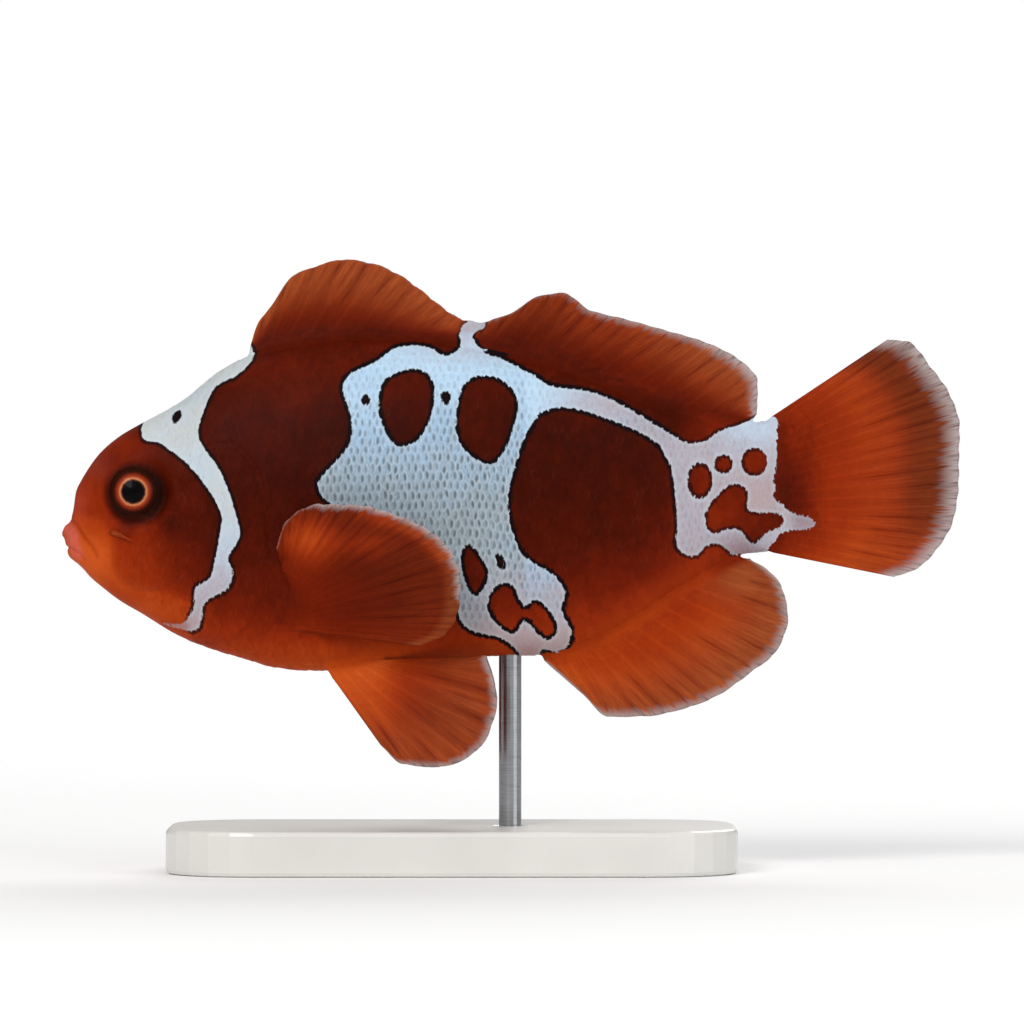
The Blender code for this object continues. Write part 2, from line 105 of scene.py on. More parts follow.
# Rays of the paired fins: root along, up, side, tip along, up, side
PELVIC_FIN = [
    (35.3, 13.2, 2.2, 43, 2.7, 5), (36.2, 13.5, 2.5, 45.7, 0.4, 6.2), (37.4, 13.7, 2.8, 50.4, 0, 7),
    (38.6, 13.9, 3, 54.7, 1.5, 7.4), (39.8, 14.1, 3.2, 57.4, 4.9, 7.4), (41, 14.2, 3.4, 58.3, 8.9, 7),
    (42, 14.3, 3.6, 56.8, 14.9, 7),
]
PECTORAL_FIN = [
    (29.9, 25.6, 7, 29.1, 29.2, 11.4), (30, 24.8, 7, 30.3, 32.7, 12.4), (30.3, 24, 7, 34.8, 35.1, 13.6),
    (30.6, 23.2, 6.9, 39.6, 35, 14.6), (30.8, 22.4, 6.9, 44.6, 33.8, 15.4),
    (31.1, 21.6, 6.8, 48.9, 31.9, 15.8), (31.3, 20.9, 6.7, 52.1, 29, 15.8),
    (31.5, 20.2, 6.6, 53.5, 25.2, 15), (31.6, 19.5, 6.4, 53.3, 21.3, 13.6),
    (31.8, 18.9, 6.2, 51.5, 17.8, 12), (31.9, 18.3, 6, 47.8, 16.2, 10.6),
]


def in_middle(rays):
    return [(a, b, 0.0, c, d, 0.0) for a, b, c, d in rays]


# Each fin: rays, columns, rows, real rays, depth of the notches between their tips,
# thickness added at the root and how far out that goes, ripple, width of the pale fringe and
# how far it is held back, share of tawny at the margin, and the warmth of colour at the root,
# half way and at the margin
FIN_TRAITS = ("rays", "columns", "rows", "count", "notch", "flare", "swell", "ripple", "fringe", "held",
              "tawny", "warmth")
FINS = {name: dict(zip(FIN_TRAITS, traits)) for name, *traits in (
    ("spiny_dorsal", in_middle(SPINY_DORSAL), 120, 26, 11, 0.16, 0.90, 1.8, 0.0, 0.5, 0.9, 0.50,
     (0.12, 0.40, 0.62)),
    ("soft_dorsal", in_middle(SOFT_DORSAL), 150, 26, 17, 0.12, 0.90, 1.8, 0.3, 1.6, 0.42, 0.18,
     (0.14, 0.32, 0.46)),
    ("tail", in_middle(TAIL_FIN), 132, 52, 17, 0.15, 1.05, 3.2, 0.5, 2.3, 0.0, 0.24,
     (0.40, 0.66, 0.46)),
    ("anal", in_middle(ANAL_FIN), 132, 34, 15, 0.12, 0.95, 2.0, 0.3, 1.6, 0.28, 0.48,
     (0.64, 0.72, 0.46)),
    ("pelvic", PELVIC_FIN, 64, 36, 6, 0.15, 0.40, 1.2, 0.0, 1.2, 0.30, 0.34, (0.80, 0.62, 0.50)),
    ("pectoral", PECTORAL_FIN, 120, 48, 18, 0.26, 0.35, 1.2, 0.0, 1.1, 0.18, 0.08,
     (0.34, 0.24, 0.24)),
)}
PAIRED_FINS = ("pelvic", "pectoral")
MEMBRANE_HALF = 0.09
RAY_RAISED = 0.07
FORK_FROM, FORK_TO = 0.30, 0.85               # where along a ray it forks, and has forked
FORK_SPREAD = 0.40
RAY_WIDTH = 0.17                              # share of the way to the next ray
RIM_THINNED = 0.6                             # share of its thickness a fin loses at the margin

# White markings in side view: along, up. Curves run through the points.
HEAD_BAND = [
    (12.1, 48.4), (10.8, 45.6), (10.8, 44.5), (11.2, 43.6), (13.2, 43.2), (17.2, 40.2), (20.5, 36),
    (21.6, 33.6), (21.6, 32.2), (20.3, 25.7), (19.6, 24.8), (18.4, 24.2), (18, 23.6), (17.9, 21.5),
    (17.5, 20.6), (16.5, 19.3), (15, 19.1), (13.4, 19.2), (14.4, 18.7), (15.9, 18.4), (17.5, 18.1),
    (18.5, 18.7), (18.8, 19.8), (19.2, 21.7), (20, 22.5), (22, 23.5), (22.9, 24.7), (23, 26.2),
    (22.5, 28), (23.7, 29.9), (24.1, 31.6), (21.6, 39.2), (18.9, 43.1), (18.5, 44.5), (18.7, 46.1),
    (20.3, 50.2), (21.2, 51.1), (23.6, 52.3), (25.6, 54.6), (25, 56.4), (18.8, 53.2),
]
SADDLE = [
    (53.4, 56.7), (52.7, 55.4), (51.2, 54.9), (49.1, 56), (45.9, 56.2), (44.1, 55.6), (42.2, 54.1),
    (40.4, 53.3), (38.4, 52.1), (37.7, 50.4), (38.8, 46.9), (38.9, 44.2), (38.2, 42.3), (35.1, 38.8),
    (34.4, 37.7), (35.4, 35.7), (40.1, 32.8), (45.4, 30.2), (50.7, 26.2), (52.5, 22.5), (53.5, 19.4),
    (55.1, 18.1), (58.7, 17.2), (61, 15.4), (61.5, 13.6), (63.4, 13.6), (64.3, 15.7), (66.1, 15.3),
    (67.6, 16), (68, 18.4), (66.8, 20.9), (67.3, 23.4), (65.6, 25.7), (62, 27.9), (60.5, 30.6),
    (59.8, 33.4), (59.7, 36.3), (61.6, 43.3), (63.2, 46.2), (64.4, 48.4), (62.7, 52.1), (59, 54.4),
    (56.5, 55.3), (55.4, 56.6), (55, 57.6), (56.5, 58.8), (56.3, 59.8), (54, 59.4), (53.2, 57.9),
]
SADDLE_ARM = [
    (62, 52.6), (65.4, 50.8), (69.4, 50.3), (72, 49.6), (75.4, 48), (80.7, 44.8), (83.2, 43.2),
    (84, 41.8), (82.7, 40.6), (81.2, 41), (80, 42.8), (77.4, 44.6), (72, 46.8), (69.4, 47.6), (66.7, 48),
    (64, 47.3), (61.6, 46.6),
]
STALK_PATCH = [
    (82.4, 43.5), (84.1, 43.1), (86.3, 43.6), (87.7, 44.6), (89.7, 45.4), (92.2, 46.3), (93.6, 46.9),
    (95.4, 46.7), (95.9, 45.8), (95.5, 44.4), (95.7, 41.6), (95.2, 38.2), (95.5, 37.2), (95.2, 36.1),
    (97.7, 33.9), (100.2, 33.2), (100.9, 32.2), (99.4, 31.7), (97.4, 31.5), (95.4, 30.5), (94.1, 28),
    (92.1, 27.3), (90.1, 28.1), (87.7, 29.8), (86.2, 29.5), (84.9, 28.2), (83.4, 28.3), (82.2, 29.5),
    (82.3, 32.2), (81.5, 40), (80.6, 42),
]
PATCHES = [HEAD_BAND, SADDLE, SADDLE_ARM, STALK_PATCH]

# Dark holes in them
HOLES = [
    [(43, 51.2), (44.9, 52.6), (47.2, 53.1), (49, 52.4), (49.9, 50.4), (49.4, 46.4), (47.5, 43.4),
     (45.3, 42.7), (43.9, 43.8), (42.5, 47.4)],
    [(53.4, 50.2), (54.6, 51.8), (56.6, 52.2), (58.9, 51.6), (61, 49), (60.2, 44.4), (59, 41.8),
     (57.4, 40.3), (55, 41.3), (53.2, 43.3), (52.7, 46)],
    [(54.3, 29.9), (55.9, 28.3), (57.1, 26), (56.5, 24), (55.3, 22.7), (54.1, 24.5), (53.4, 27.9)],
    [(57.3, 23.2), (58.7, 24.5), (60.3, 24.3), (61.2, 22.4), (62, 21.5), (63.2, 22.4), (64.5, 21.7),
     (66.1, 19.4), (66.2, 17.8), (65, 16.9), (63.6, 17.8), (61.9, 19.5), (60.6, 17.8), (59.2, 18.2),
     (57.4, 20), (56.9, 21.6)],
    [(88.2, 36.8), (89.9, 37.8), (91.5, 37.1), (91.8, 35.8), (91.6, 34.5), (92.6, 34), (95.8, 33.8),
     (96.6, 32.6), (94.1, 31), (92.5, 29.7), (90.5, 31.6), (88.8, 31.6), (87.2, 31.1), (86, 32.2),
     (86.2, 34.3)],
]
# Round holes and spots: along, up, radius along, radius up, tilt in degrees
ROUND_HOLES = [
    (15.5, 46.7, 0.55, 0.9, -28), (40.8, 48.9, 0.62, 0.74, 0), (51.4, 49.2, 0.68, 0.94, 0),
    (58.7, 27.4, 0.62, 1.15, 22), (85.3, 38.2, 1.7, 2.45, 0), (88.5, 40.4, 1.25, 1.3, 0),
    (92.6, 40.7, 1.75, 1.9, 0),
]

# Lines and plates of the head in side view
MOUTH = [(-2.0, 29.3), (1.0, 29.2), (2.2, 28.5), (3.2, 27.5)]
LIP_GROOVE = [(1.4, 33.0), (2.4, 31.8), (3.4, 30.4), (4.4, 29.1), (4.9, 28.2)]
LIP_PINKNESS = [(0.4, 32.2), (1.2, 31.4), (1.5, 30.4), (1.8, 29.4), (2.1, 28.4)]
GILL_COVER = [
    (19.6, 42), (23.3, 42.2), (25.6, 39.5), (26.9, 35.5), (27.6, 30.2), (27.5, 25.5), (26.4, 21.4),
    (24.3, 18.4), (21.4, 16.4), (18, 16.2), (15, 19), (14, 26), (15, 34), (17, 39.5),
]
CHEEK_PLATE = [
    (7.3, 30.6), (7.2, 27.2), (8.4, 24.9), (11.4, 23.7), (14, 23.9), (16, 25.6), (17.1, 29.2),
    (16.8, 33.8), (15.2, 38), (13, 34), (10, 31.9),
]
ORANGE_FACE = [
    (-2, 33.4), (3, 33.6), (5.2, 33.4), (6.8, 31.2), (7.3, 29.6), (7.3, 26.6), (8.8, 24.6), (13.6, 23.4),
    (17.3, 21.8), (18, 18), (12, 14), (0, 20), (-3, 28),
]
NOSTRIL = (5.6, 37.9)


# ---------------------------------------------------------------- curves and distances

def between(keys, at):
    """Values at the places "at", on a cubic through the keys that never overshoots them."""
    keys = np.array(keys, float)
    at = np.asarray(at, float)
    place, value = keys[:, 0], keys[:, 1:]
    step = np.diff(place)
    rise = np.diff(value, axis=0) / step[:, None]
    product = rise[:-1] * rise[1:]
    total = np.where(product > 0, rise[:-1] + rise[1:], 1.0)
    inner = np.where(product > 0, 2 * product / total, 0.0)
    slope = np.vstack([rise[:1], inner, rise[-1:]])
    i = np.clip(np.searchsorted(place, at, side="right") - 1, 0, len(place) - 2)
    t = ((at - place[i]) / step[i])[..., None]
    h = step[i][..., None]
    rest = 1 - t
    return (value[i] * (1 + 2 * t) * rest ** 2 + slope[i] * h * t * rest ** 2
            + value[i + 1] * (3 - 2 * t) * t ** 2 - slope[i + 1] * h * rest * t ** 2)


def ease(value, low, high):
    """0 below low, 1 above high and smooth between; low may be above high."""
    t = np.clip((value - low) / (high - low), 0.0, 1.0)
    return t * t * (3 - 2 * t)


def hump(value, width, centre=0.0):
    return np.exp(-((value - centre) / width) ** 2)


def rounded(outline, steps=5):
    """A closed curve through an outline's points."""
    points = np.array(outline, float)
    ahead = np.roll(points, -1, axis=0)
    chord = np.linalg.norm(ahead - points, axis=1)[:, None]
    lean = (ahead - np.roll(points, 1, axis=0)) / (chord + np.roll(chord, 1, axis=0))
    following = np.roll(lean, -1, axis=0)
    curve = []
    for t in np.arange(steps) / steps:
        rest = 1 - t
        curve.append(points * (1 + 2 * t) * rest ** 2 + lean * chord * t * rest ** 2
                     + ahead * (3 - 2 * t) * t ** 2 - following * chord * rest * t ** 2)
    return np.stack(curve, axis=1).reshape(-1, 2)


def distance_to(path, along, up):
    """Distance from each place to an open line, in side view."""
    best = np.full(np.shape(along), FAR ** 2)
    for (a, b), (c, d) in zip(path, path[1:]):
        run_a, run_b = c - a, d - b
        t = np.clip(((along - a) * run_a + (up - b) * run_b) / (run_a ** 2 + run_b ** 2), 0, 1)
        best = np.minimum(best, (along - a - t * run_a) ** 2 + (up - b - t * run_b) ** 2)
    return np.sqrt(best)


def depth_inside(outline, along, up):
    """How far inside a closed outline each place lies; less than nothing outside it."""
    loop = rounded(outline)
    depth = np.full(len(along), -FAR)
    low, high = loop.min(axis=0) - FAR, loop.max(axis=0) + FAR
    near = (along > low[0]) & (along < high[0]) & (up > low[1]) & (up < high[1])
    a, b = along[near], up[near]
    inside = np.zeros(len(a), bool)
    for (a0, b0), (a1, b1) in zip(loop, np.roll(loop, -1, axis=0)):
        if b0 != b1:
            inside ^= ((b0 > b) != (b1 > b)) & (a < a0 + (b - b0) * (a1 - a0) / (b1 - b0))
    edge = distance_to(np.vstack([loop, loop[:1]]), a, b)
    depth[near] = np.where(inside, edge, -edge)
    return depth


def depth_in_oval(oval, along, up):
    """The same for a tilted oval, near enough to measure its rim."""
    centre_a, centre_b, radius_a, radius_b, tilt = oval
    turn = math.radians(tilt)
    a = (along - centre_a) * math.cos(turn) + (up - centre_b) * math.sin(turn)
    b = (up - centre_b) * math.cos(turn) - (along - centre_a) * math.sin(turn)
    ratio = np.hypot(a / radius_a, b / radius_b)
    return np.maximum((1 - ratio) * min(radius_a, radius_b), -FAR)


# ---------------------------------------------------------------- the body's surface

def in_world(points):
    """Rows of along, up, side in millimetres to world x, y, z in metres, left side towards -Y."""
    along, up, side = points[..., 0], points[..., 1], points[..., 2]
    return np.stack([along * MM + LIP_X, -side * MM, (up + LIFT) * MM], axis=-1)


def on_fish(corner):
    """World place in metres to along, up, side."""
    x, y, z = corner
    return np.array([(x - LIP_X) / MM, z / MM - LIFT, -y / MM])


eye_low, eye_high = (on_fish(corner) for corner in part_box("eye_left"))
EYE = (eye_low + eye_high) / 2
EYE_HALF = np.abs(eye_high - eye_low) / 2

EYE_OPENING = 3.05
EYE_FLATNESS = 0.94
NORMAL_STEP, NORMAL_TURN = 0.03, 0.012        # along and in angle, for the skin's normal

COAT_DEPTH = [(0.0, 0.04), (6.0, 0.06), (14.0, 0.12), (24.0, 0.20), (90.0, 0.20), (BODY_END, 0.12)]


def bare_surface(along, angle):
    """The skin without folds. The angle runs from the back, 0, down the left side to the belly, pi."""
    back, belly, half_width = np.moveaxis(between(BODY, along), -1, 0)
    round_back, round_belly = np.moveaxis(between(ROUNDNESS, along), -1, 0)
    coat = between(COAT_DEPTH, along)[..., 0]
    level = belly + (back - belly) * WIDEST_LEVEL
    cosine, sine = np.cos(angle), np.sin(angle)
    above = cosine > 0
    height = np.where(above, back - coat - level, level - belly - coat) * cosine
    power = np.where(above, round_back, round_belly)
    side = np.maximum(half_width - coat, 0.2) * np.abs(sine) ** power * np.sign(sine)
    return np.stack([along, level + height, side], axis=-1)


def relief(along, up, side):
    """How far the folds of the head stand out of the bare surface, in millimetres."""
    raised = np.zeros(np.shape(along))
    on_head = along < 32
    a, b = along[on_head], up[on_head]
    mouth = distance_to(MOUTH, a, b)
    lips = ease(a, 4.6, 3.2)
    made = lips * (0.09 * hump(mouth, 0.42, 0.70) - 0.30 * hump(mouth, 0.17))
    made -= 0.16 * hump(distance_to(LIP_GROOVE, a, b), 0.22)
    flank = ease(np.abs(side[on_head]), 2.2, 4.2)
    cover = depth_inside(GILL_COVER, a, b)
    rear = ease(a, 16.0, 20.0) * flank
    made += rear * 0.20 * ease(cover, -0.35, 0.25) * np.exp(-np.maximum(cover, 0) / 2.5)
    made -= rear * 0.12 * hump(cover, 0.32, -0.50)
    cheek = depth_inside(CHEEK_PLATE, a, b)
    made += 0.13 * flank * np.exp(-np.abs(cheek - 0.5) / 0.8) * ease(cheek, -0.3, 0.2)
    made -= 0.14 * flank * hump(cheek, 0.35, -0.35)
    pit = np.hypot(a - NOSTRIL[0], b - NOSTRIL[1])
    made += 0.10 * hump(pit, 0.16, 0.45) - 0.35 * hump(pit, 0.24)
    from_eye = np.hypot(a - EYE[0], b - EYE[1])
    reach = np.clip(from_eye, EYE_OPENING, EYE_HALF[0] * 0.95)
    ball = EYE[2] + EYE_HALF[2] * EYE_FLATNESS * np.sqrt(1 - (reach / EYE_HALF[0]) ** 2)
    rim = ball + 0.05 + 0.14 * hump(from_eye - EYE_OPENING, 0.34, 0.45)
    sunk = 0.8 * ease(from_eye, EYE_OPENING + 0.02, EYE_OPENING - 0.45)
    pulled = ease(from_eye, EYE_OPENING + 2.6, EYE_OPENING + 0.3) * ease(np.abs(side[on_head]), 1.0, 2.5)
    made += pulled * (rim - np.abs(side[on_head]) - made - sunk)
    raised[on_head] = made
    return raised


def surface(along, angle, raised=0.0):
    """Places on the skin, raised along its normal."""
    before = np.clip(along - NORMAL_STEP, 0, BODY_END)
    after = np.clip(along + NORMAL_STEP, 0, BODY_END)
    forward = bare_surface(after, angle) - bare_surface(before, angle)
    around = bare_surface(along, angle + NORMAL_TURN) - bare_surface(along, angle - NORMAL_TURN)
    normal = np.cross(around, forward)
    normal /= np.linalg.norm(normal, axis=-1, keepdims=True) + 1e-12
    place = bare_surface(along, angle)
    raised = raised + relief(*np.moveaxis(place, -1, 0))
    return place + normal * raised[..., None]


# Distance round a section, from the widest level, up towards the back and down to the belly
CHART_ALONG = np.linspace(0.0, BODY_END, 391)
CHART_ARC = np.linspace(-32.0, 32.0, 641)


def draw_chart():
    angles = np.linspace(0.0, math.pi, 361)
    sections = bare_surface(CHART_ALONG[:, None] + 0 * angles, angles + 0 * CHART_ALONG[:, None])
    steps = np.linalg.norm(np.diff(sections, axis=1), axis=2)
    run = np.concatenate([np.zeros((len(steps), 1)), np.cumsum(steps, axis=1)], axis=1)
    arc = run[:, len(angles) // 2, None] - run
    chart = np.array([np.interp(CHART_ARC, row[::-1], angles[::-1]) for row in arc])
    return chart, arc[:, 0], arc[:, -1]


ANGLE_CHART, ARC_BACK, ARC_BELLY = draw_chart()


def angle_at(along, arc):
    """The angle of a place given by its distance round the section."""
    i = np.clip(along / CHART_ALONG[1], 0, len(CHART_ALONG) - 1.001)
    j = np.clip((arc - CHART_ARC[0]) / (CHART_ARC[1] - CHART_ARC[0]), 0, len(CHART_ARC) - 1.001)
    i0, j0 = i.astype(int), j.astype(int)
    fi, fj = i - i0, j - j0
    upper = ANGLE_CHART[i0, j0] * (1 - fj) + ANGLE_CHART[i0, j0 + 1] * fj
    lower = ANGLE_CHART[i0 + 1, j0] * (1 - fj) + ANGLE_CHART[i0 + 1, j0 + 1] * fj
    return upper * (1 - fi) + lower * fi


# ---------------------------------------------------------------- colours laid on the surface

# How dark the white is, by height, on the saddle, the head and the rear: partly the white's own tone and
# partly painted shade, the white painted lighter towards the top where light from above falls
SADDLE_SHADE = [(15, 0.92), (24, 0.88), (33, 0.95), (38, 0.82), (44, 0.55), (50, 0.22), (56, 0)]
HEAD_SHADE = [(18, 0.45), (26, 0.10), (34, -0.32), (42, -0.38), (48, -0.48)]
REAR_SHADE = [(28, 0.55), (38, 0.45), (43, 0.30), (50, 0.05)]
HEAD_ROSE = [(19, 0.95), (26, 0.62), (31, 0.24), (36, 0.10)]
FACE_WARMTH = [(-12, 0.10), (-9, 0.14), (-5, 0.34), (-1, 0.56), (2, 0.64), (5, 0.72)]

# Soft spots: amount, along, up, radius along, radius up
TRUNK_SPOTS = [
    (0.05, 28, 46, 7, 9), (-0.12, 80, 27.5, 6, 4), (0.15, 33, 14.8, 8, 3.5),
    (0.14, 42.8, 15.4, 5, 2.5), (-0.22, 97.6, 37, 4.2, 5.5),
]
FACE_SPOTS = [(0.16, 8.5, 42.5, 5, 4), (0.12, 9.4, 43.6, 2.6, 1.8), (-0.08, 6.2, 40.6, 1.8, 2)]
CHIN_SPOTS = [(0.22, 3.8, 27.5, 3.5, 4)]
CHEEK_SPOTS = [
    (-0.16, 15.2, 32.2, 2, 1.4), (-0.10, 7.6, 33.6, 1.4, 1), (-0.08, 5.1, 31.5, 1.6, 1.4),
    (-0.20, 8.9, 32, 1.2, 1.1), (-0.12, 4.3, 33.4, 1.8, 1.4), (0.07, 13.1, 21.4, 3, 1.8),
    (0.10, 92.6, 40.8, 2.2, 2.2),
]
SHADE_SPOTS = [(-0.35, 94.9, 40.9, 2, 3), (0.55, 79, 45.5, 5, 3), (-0.30, 92.5, 45.6, 4.5, 2.6)]
ROSE_SPOTS = [(0.40, 71, 48.6, 6, 3), (0.25, 93, 36, 5, 3), (-0.50, 92.5, 45.6, 4.5, 2.6)]
VEIL_SPOTS = [(0.44, 90.9, 29, 3.4, 1.8), (0.25, 62.8, 15.4, 2.2, 1.4)]
LIP_SPOTS = [(0.26, 1.8, 35.4, 1.6, 2.4), (0.16, 4.6, 40.2, 2, 2)]

# Fades: amount, where it starts and is full along, and the same up
ROSE_FADES = [(0.75, (62, 84), None), (0.80, None, (21, 15)), (0.45, (40, 53), (52, 57)),
              (0.55, (46, 60), (30, 22))]
VEIL_FADES = [(0.60, (17.6, 16.2), (20.6, 19.6)), (0.25, (96.8, 99), None),
              (0.12, (96.8, 98.6), None), (0.28, (50, 52), (57.4, 58.4))]
LINE_FADES = [(-0.70, (17.6, 16.2), (20.6, 19.6)), (-0.25, (80, 84), None),
              (-0.65, (92.6, 94.6), None), (-0.50, (50, 52), (57.2, 58.2)), (-0.14, (31, 28), None)]
# For the fins' warmth also by share of the ray and distance from the margin
FIN_FADES = {
    "tail": [(0.12, None, (34, 27), (0.1, 0.5), None), (-0.30, None, (27, 36), (0.58, 0.80), None),
             (-0.25, (103, 97.5), (29.5, 35.5), None, None),
             (0.25, (103, 97.5), (38.5, 44.5), None, None)],
    "soft_dorsal": [(0.12, (72, 88), None, (0.1, 0.6), None), (-0.05, (74, 62), None, None, None)],
    "pectoral": [(0.28, (37, 43), (24.5, 29), None, (3.6, 1.4)), (0.12, None, (21.5, 17), None, None),
                 (0.08, (44, 48), (20.5, 24), None, (3, 1.2))],
    "pelvic": [(0.24, (47, 41), (2.5, 8), None, None)],
    "anal": [(0.12, (78, 68), None, None, None), (-0.10, None, (18, 24), (0, 0.3), None),
             (-0.08, (88, 93), None, (0.3, 0.7), None)],
}
FIN_SPOTS = {"pectoral": [(0.58, 33.2, 30.4, 4.2, 3), (0.22, 41, 29.6, 3.5, 1.6)],
             "pelvic": [(-0.20, 50, 8.2, 5, 4)]}
ANAL_TAWNY_SPOTS = [(0.55, 91.5, 25, 4.5, 3.5)]
UNMARKED_FINS = ("pelvic", "pectoral", "anal")


def straight(keys, at):
    return np.interp(at, *np.transpose(keys))


def spots(table, along, up):
    return sum(amount * hump(along, radius_a, centre_a) * hump(up, radius_b, centre_b)
               for amount, centre_a, centre_b, radius_a, radius_b in table)


def fades(table, *places):
    total = 0.0
    for amount, *spans in table:
        for place, span in zip(places, spans):
            if span:
                amount = amount * ease(place, *span)
        total = total + amount
    return total


def swayed(along, up, side):
    """The right flank's markings differ a little from the left's, and meet them at back and belly."""
    sway = ease(-side, 0.5, 4.0)
    shift_a = 1.3 * np.sin(0.23 * up + 0.8) + 0.6 * np.sin(0.31 * along)
    shift_b = 1.0 * np.sin(0.19 * along + 1.7) + 0.4 * np.sin(0.5 * up)
    return along + sway * shift_a, up + sway * shift_b


def ground_warmth(along, up):
    """From dark brown, 0, to bright orange, 1."""
    above_belly = np.maximum(up - between(BODY, np.clip(along, 0, BODY_END))[:, 1], 0)
    trunk = 0.76 * np.exp(-(above_belly / 8.5) ** 1.25) * ease(along, 93, 80)
    trunk += 0.16 * ease(up, 44, 54) * ease(along, 90, 80) + 0.32 * ease(along, 80, 88)
    trunk += spots(TRUNK_SPOTS, along, up)
    face = straight(FACE_WARMTH, -(along - 8) * 0.8 - (up - 30) * 0.6) + spots(FACE_SPOTS, along, up)
    bright = 0.80 + spots(CHIN_SPOTS, along, up) - 0.10 * ease(along, 12, 18)
    face += (bright - face) * ease(depth_inside(ORANGE_FACE, along, up), -0.9, 0.9)
    warmth = face + (trunk - face) * ease(along, 18.5, 23.0)
    from_eye = np.hypot((along - EYE[0] - 0.35) * 0.97, up - EYE[1] + 0.3)
    warmth -= (warmth + 0.26) * ease(from_eye, 4.7, 3.0) * 0.92
    # painted shade along the groove above the lip, which is also cut into the skin
    warmth -= 0.16 * hump(distance_to(LIP_GROOVE, along, up), 0.30)
    return warmth + spots(CHEEK_SPOTS, along, up)


def markings(along, up, side):
    """What the colours need at each place, as named values."""
    a, b = swayed(along, up, side)
    white = np.full(len(a), -FAR)
    for outline in PATCHES:
        white = np.maximum(white, depth_inside(outline, a, b))
    for outline in HOLES:
        white = np.minimum(white, -depth_inside(outline, a, b))
    line = 1 + fades(LINE_FADES, a, b)
    for oval in ROUND_HOLES:
        depth = depth_in_oval(oval, a, b)
        white = np.minimum(white, -depth)
        line += 0.5 * ease(depth, -0.9, -0.1) * ease(a, 80, 70)

    shade = np.where(a < 30, straight(HEAD_SHADE, b), straight(SADDLE_SHADE, b))
    shade = np.where(a > 62, straight(REAR_SHADE, b), shade) + spots(SHADE_SPOTS, a, b)
    rose = straight(HEAD_ROSE, b) * ease(a, 30, 26) + fades(ROSE_FADES, a, b) + spots(ROSE_SPOTS, a, b)
    lips = ease(distance_to(LIP_PINKNESS, along, up), 1.45, 0.15) + spots(LIP_SPOTS, along, up)
    veil = fades(VEIL_FADES, a, b) + spots(VEIL_SPOTS, a, b)
    return dict(bar=white, warmth=ground_warmth(along, up), shade=shade, rose=np.clip(rose, 0, 1),
                lips=np.clip(lips, 0, 1), veil=np.clip(veil, 0, 1), line=np.clip(line, 0, 1))


def fin_markings(name, points, from_root, ray, reach, edge):
    """The same over a fin; edge is the distance from its margin, in widths of its fringe."""
    shape = FINS[name]
    a, b = points[:, 0], points[:, 1]
    warmth = np.interp(reach, [0.0, 0.5, 1.0], shape["warmth"])
    warmth += fades(FIN_FADES.get(name, []), a, b, reach, edge) + spots(FIN_SPOTS.get(name, []), a, b)
    tawny = shape["tawny"] * ease(reach, 0.20, 0.95)
    if name == "soft_dorsal":
        tawny *= 1 + 2 * ease(a, 74, 88)
    if name == "pectoral":
        tawny = np.maximum(tawny, 0.40 * ease(edge, 3.0, 1.0) * ease(a, 42, 47))
    if name == "anal":
        tawny = np.maximum(tawny, spots(ANAL_TAWNY_SPOTS, a, b)) * (1 + 0.2 * ease(a, 80, 92))
    laid = markings(*points.T)
    onto_fin = ease(from_root, 0.0, 2.2)
    laid["warmth"] += (warmth - laid["warmth"]) * onto_fin
    if name in UNMARKED_FINS:
        laid["bar"] = np.full(len(points), -FAR)
    laid.update(fin=onto_fin, ray=ray, reach=reach, edge=edge, tawny=tawny)
    return laid


# ---------------------------------------------------------------- pieces

def new_piece(name, points, faces, look):
    """A mesh object at the origin that rides on the one body. The points are in millimetres."""
    mesh = bpy.data.meshes.new(name)
    mesh.from_pydata(in_world(np.asarray(points)).tolist(), [], faces)
    mesh.materials.append(look)
    mesh.shade_smooth()
    piece = bpy.data.objects.new(name, mesh)
    bpy.context.scene.collection.objects.link(piece)
    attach(piece, "root")
    return piece


def paint(mesh, values):
    """Stores each named array on the mesh's points."""
    for name, array in values.items():
        layer = mesh.attributes.new(name, "FLOAT", "POINT")
        layer.data.foreach_set("value", np.asarray(array, np.float32))


def pick(*objects):
    """Selects just these objects, the last of them active."""
    bpy.ops.object.select_all(action="DESELECT")
    for one in objects:
        one.select_set(True)
    bpy.context.view_layer.objects.active = objects[-1]


def shell(points, closed_across):
    """Faces of a grid of points, numbered row by row."""
    rows, columns = points.shape[:2]
    number = np.arange(rows * columns).reshape(rows, columns)
    faces = []
    last = columns if closed_across else columns - 1
    for c in range(last):
        n = (c + 1) % columns
        faces.append(np.stack([number[:-1, c], number[:-1, n], number[1:, n], number[1:, c]], axis=1))
    return np.concatenate(faces).tolist()


# ---------------------------------------------------------------- skin

STATION_STEP = 0.575
RING_POINTS = 100


def body_stations():
    """Places along the body, evenly spaced on its outline and closer together on the head."""
    fine = np.linspace(0.0, BODY_END, 4000)
    back, belly, half_width = between(BODY, fine).T
    gauges = np.stack([fine, back, belly, half_width], axis=1)
    run = np.linalg.norm(np.diff(gauges, axis=0), axis=1)
    closeness = np.interp(fine[1:], [0, 6, 18, 26, BODY_END], [2.6, 2.4, 1.8, 1.0, 1.0])
    travelled = np.concatenate([[0.0], np.cumsum(run * closeness)])
    count = int(travelled[-1] / STATION_STEP)
    return np.interp(np.linspace(0, travelled[-1], count), travelled, fine)


def body_shell():
    stations = body_stations()
    angles = np.arange(RING_POINTS) * 2 * math.pi / RING_POINTS
    along, angle = np.meshgrid(stations, angles, indexing="ij")
    places = surface(along, angle)
    points = places.reshape(-1, 3)
    faces = shell(places, True)
    count = len(points)
    nose, end = places[0].mean(axis=0), places[-1].mean(axis=0)
    points = np.vstack([points, nose, end])
    last_ring = count - RING_POINTS
    for k in range(RING_POINTS):
        n = (k + 1) % RING_POINTS
        faces.append([n, k, count])
        faces.append([last_ring + k, last_ring + n, count + 1])
    return points, faces


